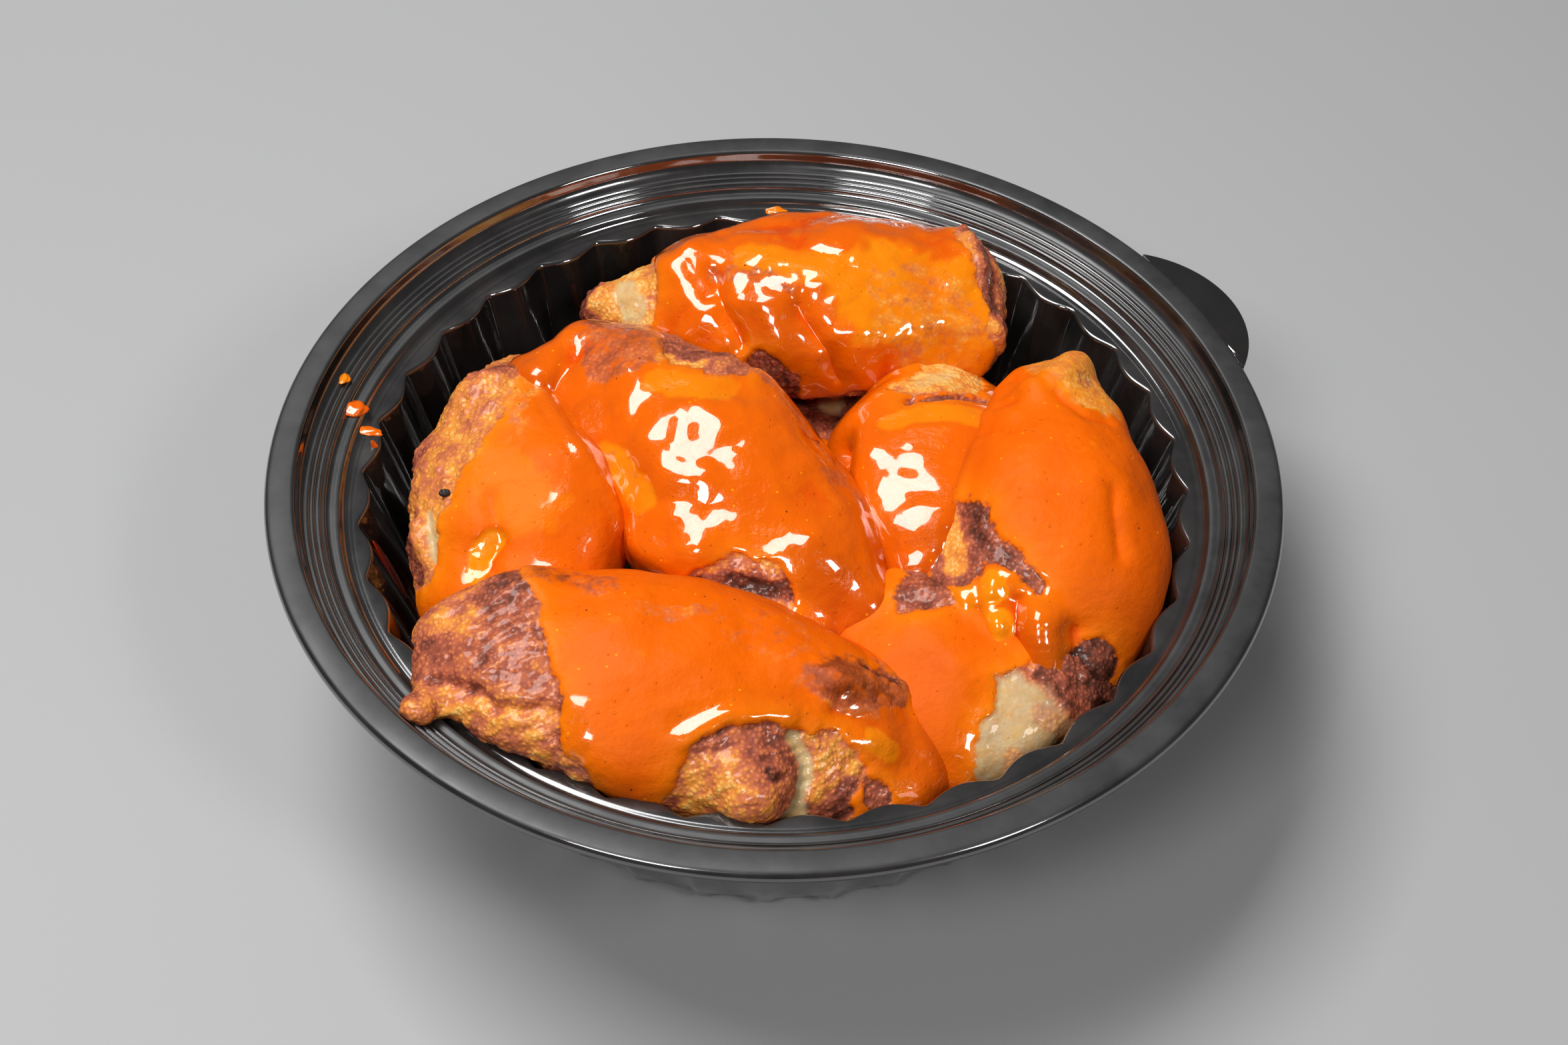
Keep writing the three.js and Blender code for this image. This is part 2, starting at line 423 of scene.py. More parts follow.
def new_group(name: str, inputs: dict[str, float], output: str) -> tuple[Graph, Node, Node]:
    """Starts a node group that puts out one value.

    Args:
        name: The group's name.
        inputs: Its value inputs and what they are unless set.
        output: The name of its output.

    Returns:
        Its graph, its input node and its output node.
    """
    tree = bpy.data.node_groups.new(name, "ShaderNodeTree")
    for label, value in inputs.items():
        socket = tree.interface.new_socket(label, in_out="INPUT", socket_type="NodeSocketFloat")
        socket.default_value = value
    tree.interface.new_socket(output, in_out="OUTPUT", socket_type="NodeSocketFloat")
    graph = Graph(tree)
    return graph, graph.add("NodeGroupInput"), graph.add("NodeGroupOutput")


def mottle_group() -> NodeTree:
    """Soft blotches: noise with its contrast raised, from 0 to 1."""
    graph, given, result = new_group("mottle", {"Size": MM, "Contrast": 2.0}, "Blotches")
    scale = graph.math("DIVIDE", 1.0, given.outputs["Size"])
    inputs = {"Vector": graph.here(), "Scale": scale, "Detail": 4.0, "Roughness": 0.6}
    cloud = graph.add("ShaderNodeTexNoise", inputs).outputs["Fac"]
    spread = graph.math("MULTIPLY", graph.math("SUBTRACT", cloud, 0.5), given.outputs["Contrast"])
    node = graph.add("ShaderNodeClamp", {"Value": graph.math("ADD", spread, 0.5)})
    graph.feed(result.inputs["Blotches"], node.outputs[0])
    return graph.tree


def grain_group() -> NodeTree:
    """Fine relief: noise and small round pebbles as a height from 0 to 1."""
    graph, given, result = new_group("grain", {"Size": MM, "Pebbles": 0.5}, "Height")
    scale = graph.math("DIVIDE", 1.0, given.outputs["Size"])
    inputs = {"Vector": graph.here(), "Scale": scale, "Detail": 5.0, "Roughness": 0.65}
    fine = graph.add("ShaderNodeTexNoise", inputs)
    cells = graph.add("ShaderNodeTexVoronoi", {"Vector": graph.here(), "Scale": scale})
    pebble = graph.step(cells.outputs["Distance"], 0.0, 0.75, (1.0, 0.0))
    height = graph.blend(given.outputs["Pebbles"], fine.outputs["Fac"], pebble)
    graph.feed(result.inputs["Height"], height)
    return graph.tree


def flecks_group() -> NodeTree:
    """Scattered round dots: 1 on a dot, whose width is a share of their spacing."""
    graph, given, result = new_group("flecks", {"Size": MM, "Width": 0.15, "Share": 0.5}, "Dots")
    scale = graph.math("DIVIDE", 1.0, given.outputs["Size"])
    cells = graph.add("ShaderNodeTexVoronoi", {"Vector": graph.here(), "Scale": scale})
    lucky = graph.math("LESS_THAN", cells.outputs["Color"], given.outputs["Share"])
    near = graph.math("DIVIDE", cells.outputs["Distance"], given.outputs["Width"])
    dot = graph.step(near, 0.6, 1.0, (1.0, 0.0))
    graph.feed(result.inputs["Dots"], graph.math("MULTIPLY", dot, lucky))
    return graph.tree


@dataclass
class Effects:
    """The node groups that several finishes share."""

    mottle: NodeTree = field(default_factory=mottle_group)
    grain: NodeTree = field(default_factory=grain_group)
    flecks: NodeTree = field(default_factory=flecks_group)

    def blotches(self, graph: Graph, size: float, contrast: float) -> NodeSocket:
        """Soft blotches about size across."""
        return graph.group(self.mottle, {"Size": size, "Contrast": contrast})

    def relief(self, graph: Graph, size: float, pebbles: float) -> NodeSocket:
        """Fine relief about size across, with a share of round pebbles in it."""
        return graph.group(self.grain, {"Size": size, "Pebbles": pebbles})

    def dots(self, graph: Graph, size: float, width: float, share: float) -> NodeSocket:
        """Dots spread at size, on a share of the places where one could lie."""
        return graph.group(self.flecks, {"Size": size, "Width": width, "Share": share})


# ---- finishes ----------------------------------------------------------------------------


def new_material(name: str) -> tuple[Material, Graph, Node]:
    """Starts a material with one Principled shader.

    Args:
        name: The material's name.

    Returns:
        The material, its graph and its shader node.
    """
    material = bpy.data.materials.new(name)
    material.use_nodes = True
    return material, Graph(material.node_tree), material.node_tree.nodes["Principled BSDF"]


@dataclass(frozen=True)
class BlackPlastic:
    """Thin formed black plastic, glossy in the wall and satin on the flange."""

    base: Colour = (0.012, 0.012, 0.012)
    # painted_reflection: a warm grey blotched into the glossy wall's black, standing in for the
    # wings and room that the wall reflects
    painted_reflection: Colour = (0.05, 0.044, 0.042)
    # worn_and_lit: the lighter grey of the satin flange and ridge tops, partly real satin wear and
    # partly painted light on surfaces that face up to the lamps
    worn_and_lit: Colour = (0.052, 0.052, 0.053)
    scuffed: Colour = (0.024, 0.024, 0.025)
    gloss: tuple[float, float] = (0.06, 0.13)
    satin: tuple[float, float] = (0.38, 0.52)

    def material(self, effects: Effects) -> Material:
        """Builds the finish.

        Args:
            effects: The shared node groups.

        Returns:
            The material.
        """
        material, graph, shader = new_material("black_plastic")
        blotches = effects.blotches(graph, 14 * MM, 2.2)
        fine = effects.relief(graph, 0.5 * MM, 0.2)
        # The glossy wall's colour carries the painted reflection in blotches.
        shine = graph.mix(blotches, self.base, self.painted_reflection)
        rubbed = effects.blotches(graph, 6 * MM, 3.0)
        lit_tops = graph.mix(graph.math("MULTIPLY", rubbed, 0.6), self.worn_and_lit, self.scuffed)
        gloss = graph.step(blotches, 0.0, 1.0, self.gloss)
        satin = graph.step(blotches, 0.0, 1.0, self.satin)
        # The satin attribute paints the lighter grey on up-facing tops and the flange as painted
        # light, and leaves risers and grooves black as painted shade.
        satin_lit_tops = graph.attribute("satin")
        inputs = {
            "Base Color": graph.mix(satin_lit_tops, shine, lit_tops),
            "Roughness": graph.blend(satin_lit_tops, gloss, satin),
            "Normal": graph.bump(fine, 0.1, 0.04 * MM),
            "Coat Weight": graph.step(satin_lit_tops, 0.0, 0.6, (1.0, 0.0)),
            "Coat Roughness": 0.05,
            "Coat IOR": 2.4,
            "IOR": 1.6,
        }
        graph.dress(shader, inputs)
        return material


@dataclass(frozen=True)
class Sauce:
    """Smooth buttery hot sauce, yellower where it is thin."""

    thick: Colour = (0.80, 0.098, 0.0002)
    # deep_and_shaded: darker red, partly thick sauce and partly painted shade in hollows, on
    # undersides and in creases between wings
    deep_and_shaded: Colour = (0.50, 0.030, 0.0004)
    thin: Colour = (0.88, 0.28, 0.004)
    fat: Colour = (0.95, 0.42, 0.01)
    roughness: float = 0.16

    def colour(self, graph: Graph, effects: Effects) -> NodeSocket:
        """The sauce's colour: deeper in the valleys, partly thicker sauce and partly painted shade,
        and yellower where it is thin.

        Args:
            graph: The material's graph.
            effects: The shared node groups.

        Returns:
            The colour.
        """
        blotches = effects.blotches(graph, 9 * MM, 2.4)
        swirls = effects.blotches(graph, 4 * MM, 3.4)
        # valley_shade darkens the sauce: partly pooled sauce, partly painted shade.
        depth = graph.math("ADD", graph.math("MULTIPLY", blotches, 0.42), graph.attribute("valley_shade"))
        body = graph.mix(depth, self.thick, self.deep_and_shaded)
        pooled = graph.math("MULTIPLY", graph.math("SUBTRACT", 1.0, depth), swirls)
        streaks = effects.blotches(graph, 2.0 * MM, 4.0)
        golden = graph.math("MULTIPLY", pooled, graph.step(streaks, 0.0, 1.0, (0.22, 0.46)))
        yellow = graph.math("MAXIMUM", graph.attribute("thin"), golden)
        drops = effects.dots(graph, 2.6 * MM, 0.11, 0.4)
        body = graph.mix(yellow, body, self.thin)
        return graph.mix(graph.math("MULTIPLY", drops, 0.6), body, self.fat)

    def material(self, effects: Effects) -> Material:
        """Builds the finish of sauce that lies off the wings.

        Args:
            effects: The shared node groups.

        Returns:
            The material.
        """
        material, graph, shader = new_material("hot_sauce")
        fine = effects.relief(graph, 1.2 * MM, 0.3)
        inputs = {
            "Base Color": self.colour(graph, effects),
            "Roughness": graph.step(fine, 0.2, 0.8, (self.roughness, 0.3)),
            "Normal": graph.bump(fine, 0.1, 0.1 * MM),
            "Coat Weight": 1.0,
            "Coat Roughness": 0.05,
        }
        graph.dress(shader, inputs)
        return material


@dataclass(frozen=True)
class FriedWing:
    """Fried chicken skin, pale where the meat shows, with sauce over it."""

    sauce: Sauce = Sauce()
    browning: tuple[tuple[float, Colour], ...] = (
        (0.0, (0.83, 0.50, 0.16)),
        (0.22, (0.78, 0.31, 0.055)),
        (0.42, (0.61, 0.195, 0.082)),
        (0.60, (0.41, 0.12, 0.070)),
        (0.80, (0.22, 0.070, 0.044)),
        (1.0, (0.085, 0.034, 0.024)),
    )
    meat: Colour = (0.58, 0.49, 0.30)
    meat_fat: Colour = (0.58, 0.33, 0.08)
    pepper: Colour = (0.12, 0.03, 0.01)
    stain: float = 0.3  # how far sauce colours the skin that shows through it

    def material(self, effects: Effects) -> Material:
        """Builds the finish, which reads the attributes that a wing's sculpting stores.

        Args:
            effects: The shared node groups.

        Returns:
            The material.
        """
        material, graph, shader = new_material("sauced_wing")
        fine = effects.relief(graph, 0.9 * MM, 0.55)
        edge = graph.math("MULTIPLY", graph.math("SUBTRACT", fine, 0.5), 0.09)
        covered = graph.step(graph.math("ADD", graph.attribute("sauce"), edge), 0.465, 0.55)

        blotches = effects.blotches(graph, 3.5 * MM, 2.6)
        patches = effects.blotches(graph, 10 * MM, 2.6)
        browned = graph.attribute("crust")
        for uneven in (
            graph.step(blotches, 0.0, 1.0, (-0.13, 0.13)),
            graph.step(patches, 0.0, 1.0, (-0.08, 0.08)),
            # The fine relief's crowns are less browned and its pits more: painted light and shade.
            graph.step(fine, 0.2, 0.8, (0.11, -0.11)),
        ):
            browned = graph.math("ADD", browned, uneven)
        tones = graph.add("ShaderNodeValToRGB", {"Fac": browned})
        stops = tones.color_ramp.elements
        for stop, (position, tone) in zip(stops, (self.browning[0], self.browning[-1])):
            stop.position, stop.color = position, (*tone, 1)
        for position, tone in self.browning[1:-1]:
            stops.new(position).color = (*tone, 1)
        fat = effects.blotches(graph, 2.2 * MM, 3.0)
        meat = graph.mix(graph.math("MULTIPLY", fat, 0.6), self.meat, self.meat_fat)
        skin = graph.mix(graph.attribute("pale"), tones.outputs[0], meat)

        sauce = self.sauce.colour(graph, effects)
        streaks = effects.blotches(graph, 2.8 * MM, 4.0)
        sheer = graph.math("ADD", graph.attribute("sheer"), graph.math("MULTIPLY", streaks, 0.6))
        sheer = graph.step(sheer, 0.6, 1.3)
        seen = graph.mix(sheer, sauce, graph.mix(self.stain, skin, sauce))
        pepper = effects.dots(graph, 5 * MM, 0.05, 0.5)
        bubbles = effects.dots(graph, 1.7 * MM, 0.2, 0.35)
        seen = graph.mix(pepper, seen, self.pepper)
        wet = graph.blend(graph.attribute("matte"), self.sauce.roughness, 0.5)
        dry = graph.step(fine, 0.2, 0.8, (0.40, 0.24))
        coat = graph.step(graph.attribute("matte"), 0.0, 0.7, (1.0, 0.0))
        wetness = graph.math("MAXIMUM", covered, graph.attribute("pale"))
        swell = effects.blotches(graph, 2.4 * MM, 1.2)
        film = graph.math("MULTIPLY", swell, 0.75)
        film = graph.math("ADD", film, graph.step(bubbles, 0.0, 1.0, (0.3, 0.65)))
        inputs = {
            "Base Color": graph.mix(covered, skin, seen),
            "Roughness": graph.blend(covered, dry, wet),
            "Normal": graph.bump(graph.blend(wetness, fine, film), 1.0, 0.3 * MM),
            "Coat Weight": graph.blend(covered, 0.25, coat),
            "Coat Roughness": 0.045,
            "Coat IOR": 1.62,
            "Specular IOR Level": 0.14,
        }
        graph.dress(shader, inputs)
        return material


@dataclass(frozen=True)
class Speckled:
    """A plain finish with soft blotches of a second colour."""

    name: str
    first: Colour
    second: Colour
    size: float
    roughness: float

    def material(self, effects: Effects) -> Material:
        """Builds the finish.

        Args:
            effects: The shared node groups.

        Returns:
            The material.
        """
        material, graph, shader = new_material(self.name)
        blotches = effects.blotches(graph, self.size, 2.5)
        fine = effects.relief(graph, self.size / 3, 0.4)
        inputs = {
            "Base Color": graph.mix(blotches, self.first, self.second),
            "Roughness": graph.step(fine, 0, 1, (self.roughness, self.roughness + 0.1)),
            "Normal": graph.bump(fine, 0.3, self.size / 20),
        }
        graph.dress(shader, inputs)
        return material


PEPPER = Speckled("pepper", (0.01, 0.008, 0.007), (0.05, 0.04, 0.035), 1 * MM, 0.5)


# ---- bowl --------------------------------------------------------------------------------


def run(start: Place, end: Place, steps: int) -> list[Place]:
    """Even steps along a straight line, with both its ends.

    Args:
        start: Where it starts.
        end: Where it ends.
        steps: How many steps.

    Returns:
        The points.
    """
    (inner, low), (outer, high) = start, end
    shares = [i / steps for i in range(steps + 1)]
    return [(inner + t * (outer - inner), low + t * (high - low)) for t in shares]


def arc(middle: Place, across: float, up: float, turns: Place, steps: int) -> list[Place]:
    """Even steps along part of an ellipse, with both its ends.

    Args:
        middle: The ellipse's middle.
        across: Half its width.
        up: Half its height.
        turns: The angles in degrees where the part starts and ends.
        steps: How many steps.

    Returns:
        The points.
    """
    points = []
    for turn, _ in run((turns[0], 0), (turns[1], 0), steps):
        way = math.radians(turn)
        points.append((middle[0] + across * math.cos(way), middle[1] + up * math.sin(way)))
    return points


@dataclass
class Bowl:
    """The formed bowl: fluted wall, seat for the lid, ridged shoulder and flat flange."""

    node: str = "bowl"
    sheet: float = 0.8 * MM
    floor: float = 1.0 * MM
    hub: float = 3.0 * MM  # the flat middle of the floor that one face closes
    flat_radius: float = 58.4 * MM  # the floor's flat part
    foot_radius: float = 66.4 * MM
    foot_height: float = 3.4 * MM
    foot_round: float = 2.4 * MM  # the curve between floor and wall
    wall_top_radius: float = 76.6 * MM
    wall_top_round: tuple[float, float] = (0.8 * MM, 0.9 * MM)  # the curve onto the ledge
    ledge_radius: float = 79.6 * MM
    ledge_flat: float = 0.6 * MM
    ledge_height: float = 43.2 * MM
    flange_radius: float = 90.2 * MM
    flutes: int = 36
    flute_depth: float = 2.3 * MM
    groove_round: float = 0.14  # how blunt a groove's bottom is
    steps_per_flute: int = 16
    # The ridges: how far out from the ledge, how wide and how far above it, in millimetres.
    ridges: tuple[tuple[float, float, float], ...] = (
        (2.5, 1.4, 1.7),
        (5.1, 0.35, 2.75),
        (5.8, 0.8, 3.2),
        (6.9, 0.7, 3.7),
        (7.8, 0.95, 4.2),
    )
    groove_depth: float = 1.0 * MM
    bead_rise: float = 0.16 * MM
    lip: float = 0.9 * MM  # the curve onto the flange
    lip_drop: float = 1.6 * MM
    edge: float = 2.6 * MM  # the flange's outer part, which rolls down
    roll: float = 1.35 * MM
    # The shoulder's underside: out from the ledge and above it, in millimetres.
    underside: tuple[Place, ...] = ((9.2, 3.6), (7.0, 2.7), (5.0, 1.5), (3.0, 0.6), (1.2, -0.7))
    tab_angle: float = math.radians(27.2)
    tab_radius: float = 24.1 * MM
    tab_centre: float = 77.9 * MM
    tab_below: float = 0.35 * MM
    tab_overlap: float = 1.6 * MM  # how far it reaches under the rolled edge
    tab_thickness: float = 0.9 * MM
    # The steps of the tab's bead, each as how far in and how far up, in millimetres.
    tab_steps: tuple[Place, ...] = ((0.25, 0.22), (0.7, 0.18), (0.6, -0.4), (0.4, -0.1))

    @property
    def height(self) -> float:
        """The height of the flange's top."""
        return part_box(self.node)[1].z

    @property
    def radius(self) -> float:
        """The outside radius of the rolled edge, which the tab doesn't pass on the left."""
        return -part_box(self.node)[0].x

    def groove(self, angle: float) -> float:
        """How far a flute's groove lies outside its crest at an angle.

        Args:
            angle: Where, round the bowl from +X.

        Returns:
            How far.
        """
        turn = math.sin(self.flutes * angle / 2)
        blunt = math.hypot(turn, self.groove_round) / math.hypot(1, self.groove_round)
        return self.flute_depth * (1 - blunt)

    def shoulder(self) -> list[Place]:
        """The ridges that climb from the ledge to the flange, as radius and height."""
        inner, height, flat = self.ledge_radius, self.ledge_height, self.ledge_flat
        points: list[Place] = [(inner, height), (inner + flat, height)]
        points.append((inner + 0.9 * MM, height - 0.2 * MM))
        for out, width, up in self.ridges:
            start = (inner + out * MM, height + up * MM)
            end = (start[0] + width * MM, start[1] + 0.1 * MM)
            points.append((start[0] - 0.22 * MM, start[1] - self.groove_depth))
            steps = 5
            for i, (radius, level) in enumerate(run(start, end, steps)):
                points.append((radius, level + self.bead_rise * math.sin(math.pi * i / steps)))
        return points

    def profile(self) -> list[Place]:
        """The section of the formed sheet, from the floor's hub out to the rim and back under."""
        height, radius, sheet, lip, roll = self.height, self.radius, self.sheet, self.lip, self.roll
        across, up = self.wall_top_round
        foot = (self.foot_radius, self.foot_height)
        top = (self.wall_top_radius, self.ledge_height - up)
        bend = self.foot_round
        inside: list[Place] = [(self.hub, self.floor), (self.flat_radius, self.floor)]
        inside += arc((foot[0] - bend, foot[1]), bend, bend, (-90, 0), 4)
        inside += run(foot, top, 8)[1:]
        inside += arc((top[0] + across, top[1]), across, up, (180, 90), 4)[1:]
        inside += self.shoulder()
        inside.append((self.flange_radius - lip - 0.35 * MM, height - self.lip_drop))
        inside += arc((self.flange_radius, height - lip), lip, lip, (180, 90), 4)
        inside.append((radius - self.edge, height))
        inside += arc((radius - roll, height - roll), roll, roll, (90, -70), 8)
        outside: list[Place] = [
            (radius - 1.9 * MM, height - 1.3 * MM),
            (radius - self.edge, height - sheet),
            (self.flange_radius + 0.6 * MM, height - sheet),
            (self.flange_radius - 0.1 * MM, height - self.lip_drop),
        ]
        for out, level in self.underside:
            outer = self.ledge_radius + out * MM
            outside.append((outer, self.ledge_height + level * MM - 0.4 * sheet))
        outside += run((top[0] + sheet, top[1] - sheet), (foot[0] + sheet, foot[1]), 6)
        outside += [(foot[0], 1.2 * MM), (foot[0] - 1.6 * MM, 0), (self.hub, 0)]
        return inside + outside

    def flute(self, shape: BMesh) -> None:
        """Pushes the wall out into its grooves, which fade out at the foot and end at the ledge.

        Args:
            shape: The spun bowl.
        """
        inner, outer = self.foot_radius - 1.5 * MM, self.ledge_radius - MERGE
        for vertex in shape.verts:
            radius = math.hypot(vertex.co.x, vertex.co.y)
            if not inner <= radius <= outer or vertex.co.z > self.ledge_height + MERGE:
                continue
            fade = min(max((vertex.co.z - self.floor) / (3 * MM), 0), 1)
            ledge = min(max((self.ledge_radius - radius) / self.flute_depth, 0), 1)
            out = self.groove(math.atan2(vertex.co.y, vertex.co.x)) * fade * ledge
            vertex.co.x *= 1 + out / radius
            vertex.co.y *= 1 + out / radius

    def body(self) -> Object:
        """The bowl itself, spun from its section."""
        shape = bmesh.new()
        corners = [shape.verts.new((r, 0, z)) for r, z in self.profile()]
        for first, second in zip(corners[:-1], corners[1:]):
            shape.edges.new((first, second))
        bmesh.ops.spin(
            shape,
            geom=shape.verts[:] + shape.edges[:],
            axis=(0, 0, 1),
            cent=(0, 0, 0),
            angle=math.tau,
            steps=self.flutes * self.steps_per_flute,
            use_merge=True,
        )
        bmesh.ops.remove_doubles(shape, verts=shape.verts, dist=MERGE)
        bmesh.ops.holes_fill(shape, edges=open_edges(shape), sides=0)
        self.flute(shape)
        return finished(shape, "bowl_body")

    def tab(self) -> Object:
        """The lift tab: the part of a disc past the flange, with a bead along its edge."""
        shape = bmesh.new()
        bmesh.ops.create_circle(shape, cap_ends=True, segments=160, radius=self.tab_radius)
        bmesh.ops.translate(shape, verts=shape.verts, vec=(self.tab_centre, 0, 0))
        bmesh.ops.bisect_plane(
            shape,
            geom=shape.verts[:] + shape.edges[:] + shape.faces[:],
            plane_co=(self.radius - self.tab_overlap, 0, 0),
            plane_no=(-1, 0, 0),
            clear_outer=True,
        )
        for thickness, depth in self.tab_steps:
            bmesh.ops.inset_region(
                shape,
                faces=self.upward(shape),
                thickness=thickness * MM,
                depth=depth * MM,
                use_even_offset=True,
            )
        down = bmesh.ops.extrude_edge_only(shape, edges=open_edges(shape))
        lower = [item for item in down["geom"] if isinstance(item, BMVert)]
        bmesh.ops.translate(shape, verts=lower, vec=(0, 0, -self.tab_thickness))
        bmesh.ops.holes_fill(shape, edges=open_edges(shape), sides=0)
        bmesh.ops.translate(shape, verts=shape.verts, vec=(0, 0, self.height - self.tab_below))
        turned(shape, self.tab_angle, "Z")
        return finished(shape, "bowl_tab")

    def upward(self, shape: BMesh) -> list[BMFace]:
        """The tab's widest face, which is its top while it is shaped."""
        return [max(shape.faces, key=lambda face: face.calc_area())]

    def build(self, material: Material) -> None:
        """Makes and dresses the bowl's pieces.

        Args:
            material: The plastic.
        """
        for piece, nodes in ((self.body(), (self.node,)), (self.tab(), ())):
            skin = Skin(piece.data)
            level = skin.normals()[:, 2]
            high = skin.points[:, 2] > self.ledge_height - 0.4 * MM
            radius = np.hypot(skin.points[:, 0], skin.points[:, 1])
            beyond = radius - self.ledge_radius
            # Satin marks the flange and up-facing treads, partly their real satin finish and partly
            # painted light, as the material makes them lighter grey; risers and grooves stay glossy
            # black as painted shade.
            most = 0.4 + 0.6 * ramp(beyond, MM, 2.4 * MM)
            lit_tops = np.where(level < 0, 0.5, most * ramp(level, 0.72, 0.97))
            skin.store("satin", np.where(high, lit_tops, 0.0))
            handed_over(piece, "black_plastic", material, *nodes)


# ---- wings -------------------------------------------------------------------------------


class Mark(Enum):
    """What a patch does to the skin."""

    BARE = "bare"  # no sauce lies here
    BROWN = "crust"  # how deeply the skin is browned
    PALE = "pale"  # meat, cartilage or bone shows
    THIN = "thin"  # the sauce is thin and yellow
    SHEER = "sheer"  # browned skin shows through the sauce
    DEEP_AND_SHADED = "deep_and_shaded"  # the sauce is darker and redder: partly thick sauce, partly painted shade on the wing's shaded sides
    DULL = "matte"  # the sauce has set and lost its shine


@dataclass(frozen=True)
class Stroke:
    """Swells the skin along a path on the wing's face, or sinks it below 0 mm."""

    path: tuple[Place, ...]
    radius: float  # millimetres
    height: float  # millimetres


@dataclass(frozen=True)
class Patch:
    """Marks the skin along a path on the wing's face."""

    mark: Mark
    path: tuple[Place, ...]
    radius: float  # millimetres
    value: float = 1.0


@dataclass(frozen=True)
class Area:
    """Marks the skin inside an outline on the wing's face."""

    mark: Mark
    outline: tuple[Place, ...]
    value: float = 1.0
    soft: float = 1.5  # millimetres over which it fades


@dataclass(frozen=True)
class Folds:
    """Fine wavy folds of bare skin that run along a direction."""

    along: tuple[float, float, float]
    spacing: float  # millimetres
    height: float  # millimetres


def surface_tree(mesh: Mesh, points: Sequence) -> BVHTree:
    """A tree for finding places on a mesh whose corners lie at points."""
    faces = [tuple(polygon.vertices) for polygon in mesh.polygons]
    return BVHTree.FromPolygons([tuple(point) for point in points], faces)


